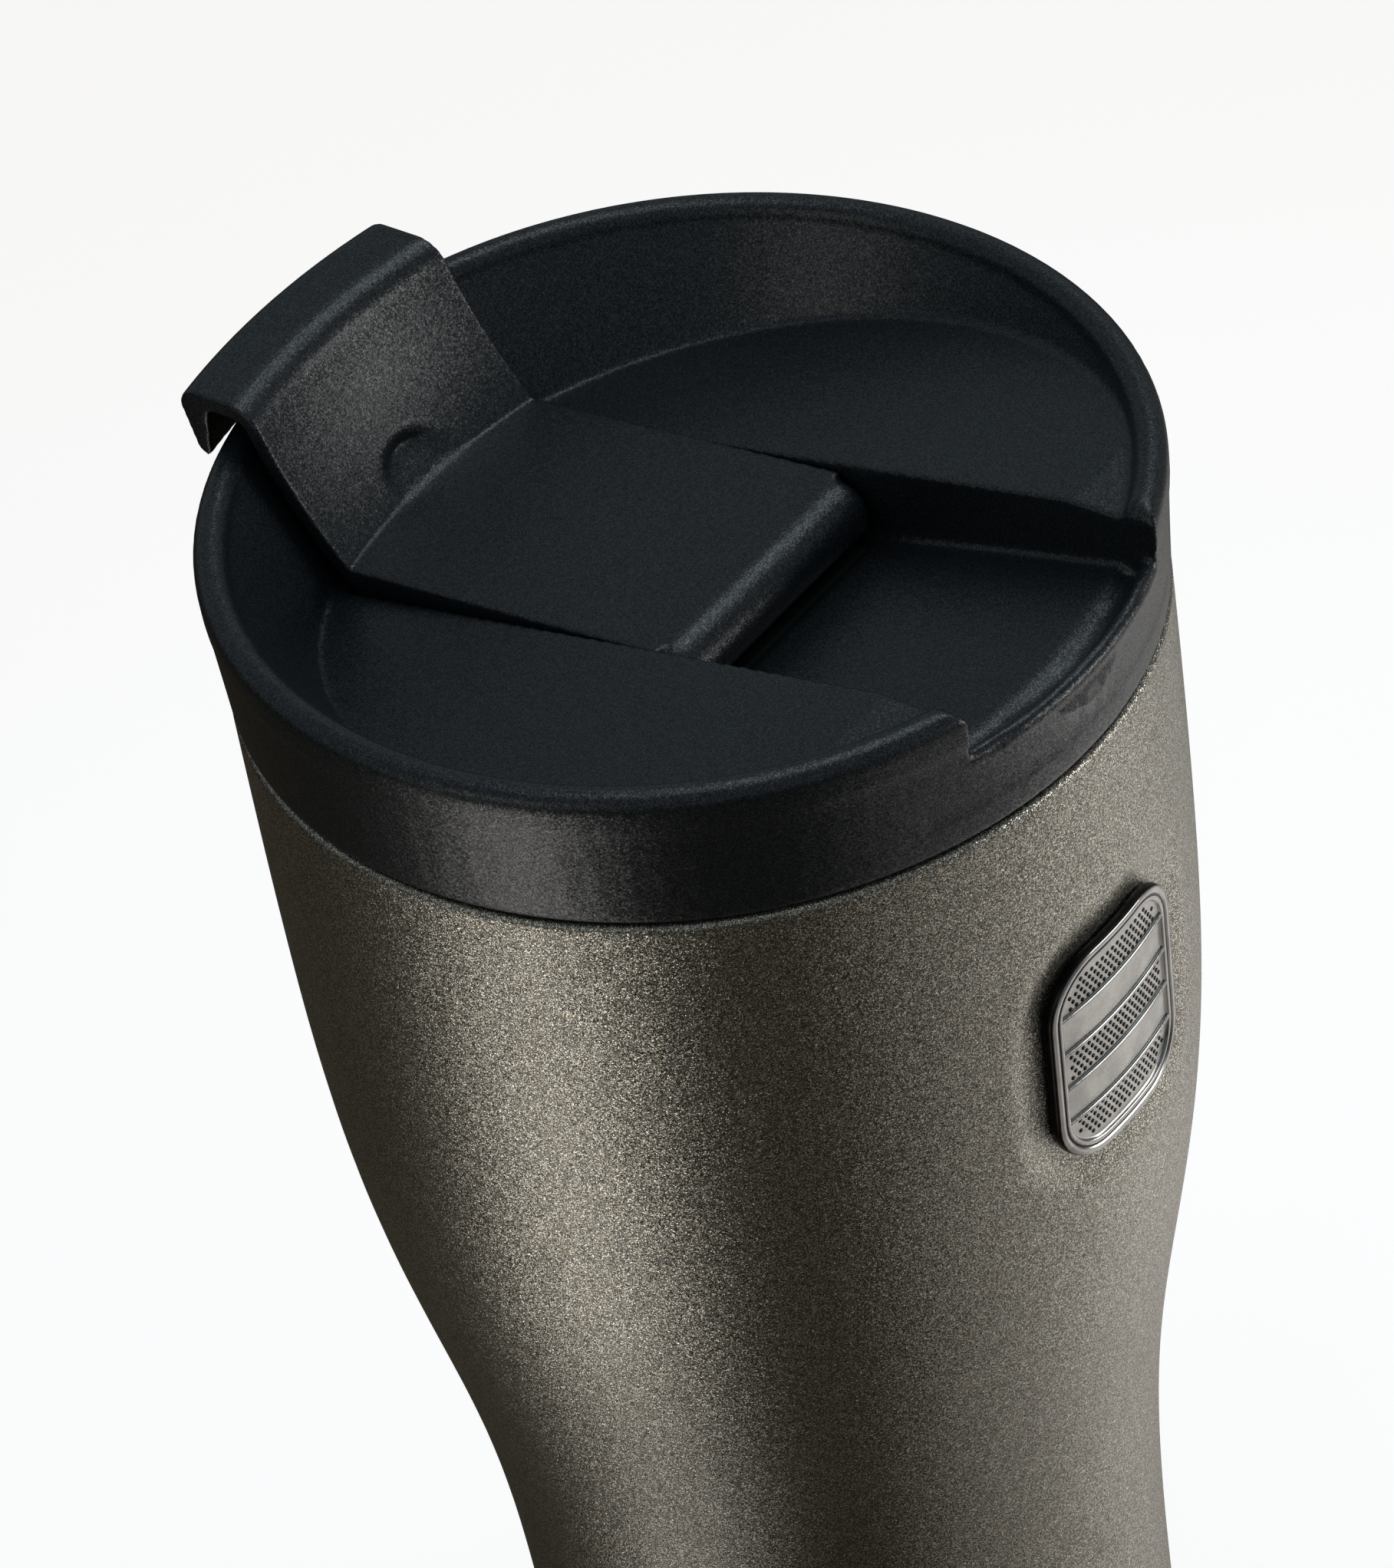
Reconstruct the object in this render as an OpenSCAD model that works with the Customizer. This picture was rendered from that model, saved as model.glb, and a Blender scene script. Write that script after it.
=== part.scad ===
// Insulated travel mug with a push-in lid and a turn-over drinking flap.
// Millimetres, +Z up. The origin is the middle of the foot's flat face, and the
// drinking edge and the badge face -Y. The flap is drawn turned back, ready to drink.

/* [Body] */
// Height of the closed mug, from the foot to the top of the lid's rim
overall_h = 190; // [165:1:235]
// Radius of the shoulder, under the lid
shoulder_r = 42.3; // [41:0.1:51]
// Radius of the waist, where the hand closes round it
waist_r = 31.2; // [27:0.1:36]
// Radius of the straight ring at the foot
base_r = 33; // [30:0.1:38]
// Height of the middle of the swell between waist and shoulder
swell_z = 100; // [85:1:125]
// How gently the swell turns in and out
swell_len = 13.4; // [10:0.1:18]
// Height of the straight ring at the foot
foot_ring_h = 6; // [5:0.5:10]
// How far the foot's flare reaches up
flare_len = 14; // [8:1:20]
// Wall of the outer shell
shell_t = 0.6; // [0.5:0.1:0.9]
// Wall of the inner liner
liner_t = 0.5; // [0.4:0.1:0.8]
// From the outer face of the body to the inner face of the liner
double_wall = 4.1; // [3.5:0.1:6]
// Radius of the rounded lip at the mouth
lip_round = 1.6; // [1:0.1:2.2]
// Height of the liner's floor above the foot
liner_floor_z = 10; // [9.5:0.5:16]
// Radius of the liner's corner at its floor
liner_corner = 7; // [4:0.5:9]
// Radius of the liner's outward turn at the mouth
mouth_turn = 1; // [0.8:0.1:1.4]

/* [Foot] */
// Thickness of the pressed base plate
base_t = 0.6; // [0.5:0.1:1]
// Height of the base plate's underside above the foot
base_recess = 5; // [4:0.5:7]
// Room round the base plate in the shell, before it is welded
base_fit = 0.1; // [0.05:0.05:0.3]
// How far the body stands above the surface on its pad
foot_gap = 1.2; // [0.6:0.1:2]
// Room round the pad in the base plate
pad_fit = 0.3; // [0.1:0.1:0.6]
// Radius of the port that the air is drawn out of
port_r = 1.5; // [1:0.1:2]
// Radius and depth of the cup round the port
seal_cup = [6, 1.2]; // [0.5:0.1:8]
// Radius of the getter pellet
getter_r = 3.2; // [2.5:0.1:4]
// Distance of the getter from the mug's axis
getter_y = 16; // [12:1:20]
// Thickness of the getter's clip
clip_t = 0.3; // [0.2:0.1:0.5]

/* [Foil] */
// Room between the foil and the liner
foil_gap = 0.3; // [0.1:0.1:0.6]
// Thickness of the foil
foil_t = 0.2; // [0.1:0.05:0.3]
// Where the foil starts above the liner's floor
foil_start = 9; // [8:1:20]
// Where the foil stops below the lip
foil_stop = 16; // [8:1:30]

/* [Badge] */
// Width of the badge
badge_w = 19; // [14:0.5:20]
// Height of the badge
badge_h = 24; // [18:0.5:26]
// Corner radius of the badge
badge_corner = 6; // [4:0.5:6.5]
// Height of the badge's middle above the foot
badge_z = 143; // [135:1:150]
// Depth of the dimple that the badge sits in
dimple_depth = 1.1; // [0.8:0.1:1.4]
// Ground left bare round the badge in its dimple
badge_margin = 1.2; // [0.6:0.1:2]
// Thickness of the badge
badge_t = 1.1; // [0.8:0.1:1.4]
// Thickness of the tape that holds the badge
tape_t = 0.2; // [0.1:0.05:0.3]
// Width of the badge's raised frame
frame_w = 1.6; // [1:0.1:2]
// Number of level bars across the badge
badge_bars = 4; // [1:1:6]
// Depth of the badge's ground under its frame
ground_drop = 0.45; // [0.2:0.05:0.6]

/* [Lid] */
// How far the lid's rim bead stands out over the shoulder
rim_over = 0.7; // [0.4:0.1:1.2]
// Height of the lid's skirt, from the rim's top to its bottom edge
skirt_h = 14.6; // [13:0.1:18]
// Gap between the skirt and the body's lip
seam_gap = 0.3; // [0.2:0.1:0.6]
// Radius of the rim bead's section
bead_r = 1.55; // [1.2:0.05:1.8]
// Wall of the lid's mouldings
lid_t = 2; // [1.6:0.1:2.4]
// How far the bowl's wall closes in for each millimetre of depth
bowl_draft = 0.58; // [0.4:0.01:0.7]
// Depth of the two wings at the back of the bowl, from where they rise to the front
wing_low = 13.8; // [11:0.1:14.5]
// Depth of the drinking lip under the rim's top
sip_drop = 5.3; // [4.5:0.1:6.5]
// Thickness of the rounded drinking lip
sip_t = 1.7; // [1.4:0.1:2.2]
// Step from the drinking lip down to the channel's floor
sip_step = 0.55; // [0.3:0.05:1]
// Width and height of the nub under the drinking lip
nub = [8.7, 1.5]; // [1:0.1:12]
// How far the nub stands out of the skirt
nub_out = 0.45; // [0.3:0.05:0.8]
// Distance of the nub under the drinking lip
nub_drop = 1.6; // [1:0.1:3]
// How far the plug reaches down into the mouth
plug_h = 18.4; // [15:0.1:26]
// Room between the plug and the liner
plug_gap = 0.8; // [0.5:0.1:1.2]
// Wall of the plug
plug_t = 2.2; // [1.8:0.1:2.6]
// Depth of the gasket's groove under the plug's top
groove_drop = 9; // [4:0.5:12]
// Height of the gasket's groove
groove_h = 4; // [3:0.5:6]
// How deep the gasket's groove is cut
groove_d = 1.2; // [0.8:0.1:1.6]

/* [Flap] */
// Width of the flap
flap_w = 28; // [24:0.5:34]
// Running gap between the flap and its channel, each side
side_gap = 0.3; // [0.2:0.05:0.5]
// Hinge axis in front of the mug's axis
hinge_y = 7.2; // [6:0.1:8]
// Hinge axis below the rim's top
hinge_drop = 10.2; // [9.8:0.1:10.8]
// Radius of the flap's nose, round its hinge axis
nose_r = 3.3; // [3:0.1:4]
// Slope of the flap's face when it is turned back
rest_tilt = 6; // [4:0.5:8]
// Gap between the shut flap and what lies under it
shut_gap = 0.35; // [0.3:0.05:0.5]
// Thickness of the strap and of the flap at its bend
strap_t = 1.6; // [1.4:0.1:2]
// Slope of the strap where it leaves the bend, with the flap turned back
strap_rise = 50; // [46:0.5:56]
// Slope of the strap under its crown
crown_rise = 70; // [64:0.5:74]
// Centre of the strap's bow in plan, in front of the mug's axis
strap_bow_y = 25; // [20:1:35]
// Height of the strap's top above the rim
strap_over = 4.5; // [4:0.1:5.5]
// Radius of the flap's hinge pins
pin_r = 1.6; // [1.3:0.1:1.8]
// Running clearance of the hinge pins
pin_gap = 0.06; // [0.04:0.01:0.1]
// Rounding of the nose's two ends
nose_round = 2; // [1:0.1:2.4]
// Width and length of the thumb dent in the strap
dent = [8, 3.2]; // [2:0.1:10]
// Depth of the thumb dent
dent_depth = 0.9; // [0.5:0.1:1]
// Distance of the dent above the bend
dent_from = 1.3; // [1:0.1:2.5]

/* [Drink way] */
// Width of the drink slot
slot_w = 20; // [14:0.5:21]
// Length of the drink slot, front to back
slot_l = 3.6; // [3:0.1:4]
// Radius of the vent
vent_r = 0.9; // [0.7:0.1:1.2]
// Distance of the vent behind the mug's axis
vent_y = 12; // [9:1:18]
// How far the silicone seat reaches out round the slot
seal_rim = 2; // [1.5:0.1:2.2]
// Gap between the seat and the shut flap's nose
seat_gap = 0.05; // [0.03:0.01:0.1]

/* [Hidden] */
$fn = 96;
big = 240;          // far larger than the lid, for blocks that only cut
lip_z = overall_h - skirt_h - seam_gap;
seam_r = shoulder_r - lip_round - 0.5;
neck_r = shoulder_r - double_wall - 0.1;
lid_r = shoulder_r + rim_over;
base_rim_r = base_r - shell_t - base_fit;
base_top_z = base_recess + base_t;

// ---- Helpers ----

// Points of an arc about c, from angle a to angle b
function arc(c, r, a, b, n = 10) =
    [for (i = [0:n]) let (t = a + (b - a) * i / n) c + r * [cos(t), sin(t)]];

// A list from its far end
function turned(list) = [for (i = [len(list) - 1:-1:0]) list[i]];

// Outer radius of the body without its foot's flare
function trunk_r(z) =
    waist_r + (shoulder_r - waist_r) / (1 + exp((swell_z - z) / swell_len));

// Outer radius of the body
function body_r(z) =
    trunk_r(z) + (base_r - waist_r) * exp(-max(0, z - foot_ring_h) / flare_len);

// Inner radius of the liner: a straight neck for the plug, then the body's form
function liner_r(z) = min(neck_r, trunk_r(z) - double_wall);

// Points [radius(z), z] up a wall, where radius is given by kind
function wall_line(kind, inset, z0, z1, n) =
    [for (i = [0:n]) let (z = z0 + (z1 - z0) * i / n)
        [(kind == "body" ? body_r(z) : liner_r(z)) - inset, z]];

// Everything on the +Z side of a plane through p that rises by tilt towards -Y
module above(p, tilt) {
    translate(p) rotate([-tilt, 0, 0]) translate([-big / 2, -big / 2, 0]) cube(big);
}

// A cylinder along X, centred on x = 0
module cross_rod(r, length) {
    rotate([0, 90, 0]) cylinder(r = r, h = length, center = true);
}

// ---- Double-walled body ----

module body_wall() {
    top_r = body_r(lip_z) - lip_round;
    outside = concat(wall_line("body", 0, foot_gap, lip_z - lip_round, 48),
        arc([top_r, lip_z - lip_round], lip_round, 0, 90));
    inside = concat(wall_line("body", shell_t, foot_gap, lip_z - lip_round, 48),
        arc([top_r, lip_z - lip_round], lip_round - shell_t, 0, 90));
    rotate_extrude() polygon(concat(outside,
        [[seam_r, lip_z], [seam_r, lip_z - shell_t]], turned(inside)));
}

// The badge's outline, grown by g
module badge_outline(g) {
    w = badge_w / 2 + g;
    h = badge_h / 2 + g;
    c = badge_corner + g;
    square([2 * (w - c), 2 * h], center = true);
    square([2 * w, 2 * (h - c)], center = true);
    for (x = [-1, 1], z = [-1, 1]) translate([x * (w - c), z * (h - c)]) circle(c);
}

// A block of the badge's outline on the front of the body
module badge_block(g) {
    translate([0, 0, badge_z]) rotate([90, 0, 0]) linear_extrude(big) badge_outline(g);
}

// The body's surface behind the badge as a cone, moved inward by depth
module badge_cone(depth) {
    slope = (body_r(badge_z + badge_h / 2) - body_r(badge_z - badge_h / 2)) / badge_h;
    mid = body_r(badge_z) - depth;
    translate([0, 0, badge_z - badge_h])
        cylinder(r1 = mid - badge_h * slope, r2 = mid + badge_h * slope, h = 2 * badge_h);
}

// What lies within the badge's outline between two depths under the surface
module badge_layer(g, deep, shallow) {
    intersection() {
        badge_block(g);
        difference() {
            badge_cone(shallow);
            badge_cone(deep);
        }
    }
}

module outer_shell() {
    color([0.55, 0.50, 0.44])
    difference() {
        union() {
            body_wall();
            badge_layer(badge_margin + shell_t, dimple_depth + shell_t, shell_t / 2);
        }
        badge_layer(badge_margin, dimple_depth, -5);
    }
}

module inner_liner() {
    wall_z = liner_floor_z + liner_corner;
    corner_c = [liner_r(wall_z) - liner_corner, wall_z];
    turn_c = [neck_r + mouth_turn, lip_z - mouth_turn];
    inside = concat([[0, liner_floor_z]], arc(corner_c, liner_corner, -90, 0),
        wall_line("liner", 0, wall_z + 2, turn_c[1], 40), arc(turn_c, mouth_turn, 180, 90));
    outside = concat([[0, liner_floor_z - liner_t]],
        arc(corner_c, liner_corner + liner_t, -90, 0),
        wall_line("liner", -liner_t, wall_z + 2, turn_c[1], 40),
        arc(turn_c, mouth_turn - liner_t, 180, 90));
    color([0.78, 0.78, 0.77])
    rotate_extrude() polygon(concat(inside,
        [[seam_r, lip_z], [seam_r, lip_z - liner_t]], turned(outside)));
}

// A pressed plate that closes the shell, with a cup for the seal of its port
module shell_base() {
    cup_r = seal_cup[0];
    cup_h = seal_cup[1];
    color([0.72, 0.72, 0.71])
    rotate_extrude() polygon([
        [port_r, base_top_z + cup_h], [cup_r, base_top_z + cup_h],
        [cup_r + base_t, base_top_z], [base_rim_r, base_top_z], [base_rim_r, foot_gap],
        [base_rim_r - base_t, foot_gap], [base_rim_r - base_t, base_recess],
        [cup_r, base_recess], [cup_r - base_t, base_recess + cup_h],
        [port_r, base_recess + cup_h]]);
}

// Solder glass that closes the port once the air is out
module vacuum_seal_bead() {
    seat_z = base_recess + seal_cup[1];
    bead_out = seal_cup[0] - 2 * base_t;
    edge = 0.3;
    color([0.45, 0.38, 0.20])
    rotate_extrude() polygon([[0, base_recess + edge], [bead_out - 4 * edge, base_recess + edge],
        [bead_out, seat_z - edge], [bead_out, seat_z], [port_r, seat_z],
        [port_r, seat_z + base_t], [0, seat_z + base_t]]);
}

// Bright foil wound on the liner to turn heat back
module radiation_foil() {
    low = liner_floor_z + foil_start;
    high = lip_z - foil_stop;
    near = liner_t + foil_gap;
    color([0.80, 0.50, 0.32])
    rotate_extrude() polygon(concat(wall_line("liner", -near, low, high, 30),
        turned(wall_line("liner", -near - foil_t, low, high, 30))));
}

// A shallow cup with a flat brim, spot-welded to the base plate
module getter_clip() {
    inner = getter_r + 0.1;
    outer = inner + clip_t;
    brim = outer + 1;
    wall_h = 1.1;
    color([0.62, 0.62, 0.62])
    translate([0, getter_y, base_top_z]) rotate_extrude() polygon([
        [0, 0], [brim, 0], [brim, clip_t], [outer, clip_t],
        [outer, wall_h], [inner, wall_h], [inner, clip_t], [0, clip_t]]);
}

module getter() {
    color([0.30, 0.30, 0.31])
    translate([0, getter_y, base_top_z + clip_t]) cylinder(r = getter_r, h = 1.3);
}

// Soft pad in the base's recess, which the mug stands on
module foot_pad() {
    pad_r = base_rim_r - base_t - pad_fit;
    groove_out = pad_r - 6;
    groove_in = pad_r - 7.5;
    groove_top = 0.6;
    color([0.10, 0.10, 0.10])
    rotate_extrude() polygon([[0, 0], [groove_in, 0], [groove_in, groove_top],
        [groove_out, groove_top], [groove_out, 0], [pad_r - foot_gap, 0], [pad_r, foot_gap],
        [pad_r, base_recess], [0, base_recess]]);
}

// ---- Badge ----

module badge_tape() {
    color([0.15, 0.15, 0.15])
    badge_layer(-1, dimple_depth, dimple_depth - tape_t);
}

// A plain framed plate with level bars
module badge() {
    back = dimple_depth - tape_t;
    face = back - badge_t;
    bar_w = 0.5;
    pitch = (badge_h - 2 * frame_w) / (badge_bars + 1);
    color([0.45, 0.44, 0.42])
    union() {
        badge_layer(0, back, face + ground_drop);
        difference() {
            badge_layer(0, back, face);
            badge_layer(-frame_w, back + 1, face - 1);
        }
        for (i = [1:badge_bars])
            intersection() {
                badge_layer(-frame_w, back, face + ground_drop / 2);
                translate([-big / 2, -big, badge_z - badge_h / 2 + frame_w + i * pitch - bar_w / 2])
                    cube([big, big, bar_w]);
            }
    }
}

// ---- Lid ----
// Lid pieces are drawn with z = 0 at the rim's top and moved up.

hinge = [0, -hinge_y, -hinge_drop];
channel_w = flap_w / 2 + side_gap;
cradle_r = nose_r + shut_gap;
rear_floor_z = -hinge_drop - cradle_r;
bowl_r = lid_r - 2 * bead_r;
skirt_r = lid_r - 0.25;
sip_in_r = skirt_r - sip_t;
boss_z = rear_floor_z - lid_t - 1.15;
// The plug's flange lies in a step under the skirt, and is welded there
flange_r = lid_r - 2.7;
flange_t = 2;
weld_z = -skirt_h + flange_t;
weld_gap = 0.1;
plug_seat_z = -skirt_h - seam_gap;
plug_r = neck_r - plug_gap;
plug_low = plug_seat_z - plug_h;
groove_z = plug_seat_z - groove_drop;

// Slope, rising towards -Y, of the line through p = [forward, up] from the hinge
// that passes under a circle of radius r about the hinge and touches it
function touching_tilt(p, r) = atan2(p[1], p[0]) + asin(r / norm(p));

// A plane's point under the hinge, for such a line
function under_hinge(r, tilt) = hinge - [0, 0, r / cos(tilt)];

// Front floor: it leaves the nose's cradle and rises to the foot of the lip
floor_tilt = touching_tilt([sip_in_r - hinge_y, hinge_drop - sip_drop - sip_step], cradle_r);
// Shut flap: its face touches the nose and clears the lip's two ends
sip_end_y = sqrt(pow(sip_in_r + sip_t / 2, 2) - pow(channel_w, 2));
shut_tilt = touching_tilt([sip_end_y - hinge_y, hinge_drop - sip_drop + shut_gap], nose_r);
// The wings rise from the back of the bowl to the bead at the drinking edge
wing_p = [0, -(bowl_r - 2.5), -0.45];
wing_back_y = bowl_r - bowl_draft * (wing_low - bead_r);
wing_tilt = atan2(wing_low + wing_p[2], wing_back_y - wing_p[1]);

// The space over the wings, grown by g
module bowl(g) {
    depth = 24;
    intersection() {
        translate([0, 0, -bead_r - depth])
            cylinder(r1 = bowl_r - bowl_draft * depth + g, r2 = bowl_r + g, h = depth);
        above(wing_p - [0, 0, g / cos(wing_tilt)], wing_tilt);
    }
}

// The channel that the flap lies in, grown by g
module channel(g) {
    wide = 2 * (channel_w + g);
    depth = 24;
    // behind the hinge
    intersection() {
        translate([-wide / 2, -hinge_y, rear_floor_z - g]) cube([wide, big, big]);
        translate([0, 0, -bead_r - depth])
            cylinder(r1 = bowl_r - bowl_draft * depth + g, r2 = bowl_r + g, h = depth);
    }
    // in front of it
    intersection() {
        translate([-wide / 2, -hinge_y - big, -big / 2]) cube([wide, big, big]);
        above(under_hinge(cradle_r + g, floor_tilt), floor_tilt);
        translate([0, 0, -big / 2]) cylinder(r = sip_in_r, h = big);
    }
    // round the nose
    translate(hinge) cross_rod(cradle_r + g, wide);
}

// Solid form of the lid's outside
module lid_form() {
    skirt_low_r = shoulder_r - 0.1;
    well_r = plug_r - plug_t - 2 * weld_gap;
    rotate_extrude() {
        polygon([[0, boss_z], [well_r, boss_z], [well_r, -skirt_h],
            [skirt_low_r - 0.3, -skirt_h], [skirt_low_r, -skirt_h + 0.4],
            [skirt_r, -4.6], [lid_r - 0.05, -3.4], [lid_r, -bead_r], [0, -bead_r]]);
        translate([lid_r - bead_r, -bead_r]) circle(bead_r);
    }
}

// Opening of the rim over the drinking lip: upright sides with rounded shoulders
module sip_notch() {
    shoulder = 1.8;
    intersection() {
        rotate([90, 0, 0]) linear_extrude(big) {
            translate([-channel_w, -sip_drop - 2]) square([2 * channel_w, sip_drop + 10]);
            difference() {
                translate([-channel_w - shoulder, -shoulder])
                    square([2 * (channel_w + shoulder), 10]);
                for (side = [-1, 1])
                    translate([side * (channel_w + shoulder), -shoulder]) circle(shoulder);
            }
        }
        translate([0, 0, -big / 2]) difference() {
            cylinder(r = big, h = big);
            translate([0, 0, -1]) cylinder(r = bowl_r - 0.8, h = big + 2);
        }
    }
}

// Rounded drinking lip across the notch
module sip_lip() {
    intersection() {
        rotate_extrude() {
            translate([sip_in_r, -sip_drop - 4])
                square([sip_t, 4 - sip_t / 2]);
            translate([sip_in_r + sip_t / 2, -sip_drop - sip_t / 2]) circle(sip_t / 2);
        }
        translate([-channel_w, -big, -big / 2]) cube([2 * channel_w, big, big]);
    }
}

// Radius of the arc of a D with a straight side of 2 * half_w
function d_radius(half_w, reach) = (half_w * half_w + reach * reach) / (2 * reach);

// D-shaped wedge: flat edge at the origin, arc at +Y, rising over +Z to its arc
module d_wedge(half_w, reach, height) {
    r = d_radius(half_w, reach);
    intersection() {
        translate([0, reach - r, -height]) cylinder(r = r, h = 3 * height);
        translate([-half_w - 1, 0, -height]) cube([2 * half_w + 2, reach + 1, 3 * height]);
        rotate([atan(height / reach), 0, 0])
            translate([-big / 2, -big / 2, -big]) cube([big, big, big]);
    }
}

// Nub on the skirt under the drinking lip
module lid_nub() {
    translate([0, -skirt_r + 0.2, -sip_drop - nub_drop]) rotate([90, 0, 0])
        rotate([0, 0, 180]) d_wedge(nub[0] / 2, nub[1], nub_out);
}

// Solid round the slot and the flap's sockets that the underside leaves standing
module hinge_bosses() {
    translate([-slot_w / 2 - 3.6, -hinge_y - 5.4, boss_z])
        cube([slot_w + 7.2, 10.8, 6]);
    for (side = [-1, 1])
        translate([side * (channel_w + 1.5), -hinge_y, -hinge_drop])
            cross_rod(pin_r + 2, 3);
}

module lid_underside() {
    hollow_r = flange_r - 0.5;
    difference() {
        rotate_extrude() polygon([[0, boss_z - 1], [flange_r + weld_gap, boss_z - 1],
            [flange_r + weld_gap, weld_z], [hollow_r, weld_z], [hollow_r, -2 * bead_r],
            [0, -2 * bead_r]]);
        bowl(lid_t);
        channel(lid_t);
        hinge_bosses();
    }
}

// Rectangle round the slot, where the silicone seal lies
module slot_block(w, l, low, high) {
    translate([-w / 2, -hinge_y - l / 2, low]) cube([w, l, high - low]);
}

seal_w = slot_w + 2 * seal_rim;
seal_l = slot_l + 1.3 * seal_rim;
seal_low = boss_z + 1.6;

module lid_shell() {
    color([0.13, 0.14, 0.15])
    translate([0, 0, overall_h])
    difference() {
        union() {
            difference() {
                lid_form();
                lid_underside();
                bowl(0);
                channel(0);
                sip_notch();
            }
            sip_lip();
            lid_nub();
        }
        for (side = [-1, 1])
            translate(hinge + [side * (channel_w + 0.5), 0, 0])
                cross_rod(pin_r + pin_gap, 2.6);
        slot_block(seal_w, seal_l, seal_low, -hinge_drop);
        slot_block(slot_w, slot_l, boss_z - 1, seal_low + 1);
        translate([0, vent_y, boss_z - 1]) cylinder(r = vent_r, h = 6);
    }
}

// Inner moulding of the lid: a closed cup with a chimney for the drink
module lid_plug() {
    collar_r = bowl_r - bowl_draft * (-weld_z - bead_r) + lid_t + 0.3;
    inner_r = plug_r - plug_t;
    floor_z = plug_low + 2;
    chimney_t = 1.8;
    chimney_top = boss_z;
    color([0.16, 0.17, 0.18])
    translate([0, 0, overall_h])
    difference() {
        union() {
            rotate_extrude() polygon(concat(
                [[0, plug_low]], arc([plug_r - 2, plug_low + 2], 2, -90, 0, 6),
                [[plug_r, groove_z - groove_h], [plug_r - groove_d, groove_z - groove_h],
                [plug_r - groove_d, groove_z], [plug_r, groove_z], [plug_r, plug_seat_z],
                [flange_r, plug_seat_z], [flange_r, weld_z], [collar_r, weld_z],
                [inner_r, plug_seat_z - 0.5], [inner_r, floor_z], [0, floor_z]]));
            slot_block(slot_w + 2 * chimney_t, slot_l + 2 * chimney_t, floor_z - 1, chimney_top);
            translate([0, vent_y, floor_z - 1])
                cylinder(r = vent_r + 1.4, h = rear_floor_z - lid_t - floor_z + 1);
        }
        slot_block(slot_w, slot_l, plug_low - 1, boss_z + 1);
        translate([0, vent_y, plug_low - 1]) cylinder(r = vent_r, h = big);
    }
}

// Silicone ring with two lips that wipe the liner's neck
module lid_gasket() {
    inner = plug_r - groove_d;
    web = plug_r + 0.2;
    lip = neck_r - 0.05;
    z = groove_z - groove_h;
    color([0.22, 0.23, 0.24])
    translate([0, 0, overall_h])
    rotate_extrude() polygon([[inner, z + 0.1], [web, z + 0.1], [lip, z + 0.7],
        [lip, z + 1.0], [web, z + 1.4], [web, z + 2.4], [lip, z + 2.9], [lip, z + 3.2],
        [web, z + 3.9], [inner, z + 3.9]]);
}

// Silicone seat, formed to the shut flap: round under the nose, sloped before it
module spout_gasket() {
    near_r = nose_r + seat_gap;
    color([0.22, 0.23, 0.24])
    translate([0, 0, overall_h])
    difference() {
        slot_block(seal_w, seal_l, seal_low, -hinge_drop - 0.72 * nose_r);
        translate(hinge) cross_rod(near_r, flap_w + 2);
        intersection() {
            above(under_hinge(near_r, shut_tilt), shut_tilt);
            translate([-big / 2, -hinge_y - big, -big / 2]) cube(big);
        }
        slot_block(slot_w, slot_l, seal_low - 1, 0);
    }
}

// ---- Flap ----

// Length of the flap's face from the hinge to the bend: it clears the skirt when shut
face_l = (lid_r + 0.4 - hinge_y - nose_r * sin(shut_tilt)) / cos(shut_tilt);
face = nose_r * [sin(rest_tilt), cos(rest_tilt)];
bend = [-hinge_y, -hinge_drop] + face + face_l * [cos(rest_tilt), -sin(rest_tilt)];

// Side outline of the strap and hook, from the bend over the rim and down
function strap_outline() =
    let (
        turn_r = 3.2,
        turn_z = strap_over - turn_r,
        sweep_r = (turn_z + turn_r * cos(crown_rise) - bend[1])
            / (cos(strap_rise) - cos(crown_rise)),
        sweep_c = bend + sweep_r * [-sin(strap_rise), cos(strap_rise)],
        turn_c = sweep_c + (sweep_r + turn_r) * [sin(crown_rise), -cos(crown_rise)],
        hook_r = 2,
        hook_out = lid_r + 2.9,
        tip = [lid_r + 0.5, -2.4],
        low_z = -hinge_drop - nose_r + 0.1
    )
    concat(
        arc(sweep_c, sweep_r, strap_rise - 90, crown_rise - 90, 8),
        arc(turn_c, turn_r, 90 + crown_rise, 90),
        arc([hook_out - hook_r, strap_over - hook_r], hook_r, 90, 0),
        [tip + [1.3, 0.4], tip + [0.5, -0.2], tip],
        arc([lid_r - 0.6, 2.3], 0.5, 0, 90, 4),
        arc(turn_c, turn_r - strap_t, 90, 90 + crown_rise),
        arc(sweep_c, sweep_r + strap_t, crown_rise - 90, strap_rise - 89, 8),
        [[bend[0] + 0.2, low_z + 0.9], [bend[0] - 0.8, low_z], [bend[0] - 6, low_z]]);

module strap() {
    intersection() {
        translate([0, -strap_bow_y, 0]) rotate_extrude(convexity = 4)
            polygon([for (p = strap_outline()) p + [strap_bow_y, 0]]);
        translate([-flap_w / 2, 10, -big / 2]) cube([flap_w, big, big]);
    }
}

// The plate: a wedge from the nose to the bend, level underneath
module plate() {
    low_z = -nose_r + 0.1;
    end = bend + [hinge_y, hinge_drop];
    intersection() {
        translate(hinge) rotate([90, 0, 90]) linear_extrude(flap_w, center = true)
            polygon([face, end + [3, -3 * tan(rest_tilt)], [end[0] + 3, low_z], [0, low_z],
                [0, 0]]);
        translate([0, -strap_bow_y, -big / 2])
            cylinder(r = bend[0] + strap_bow_y - 0.01, h = big);
    }
}

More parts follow.
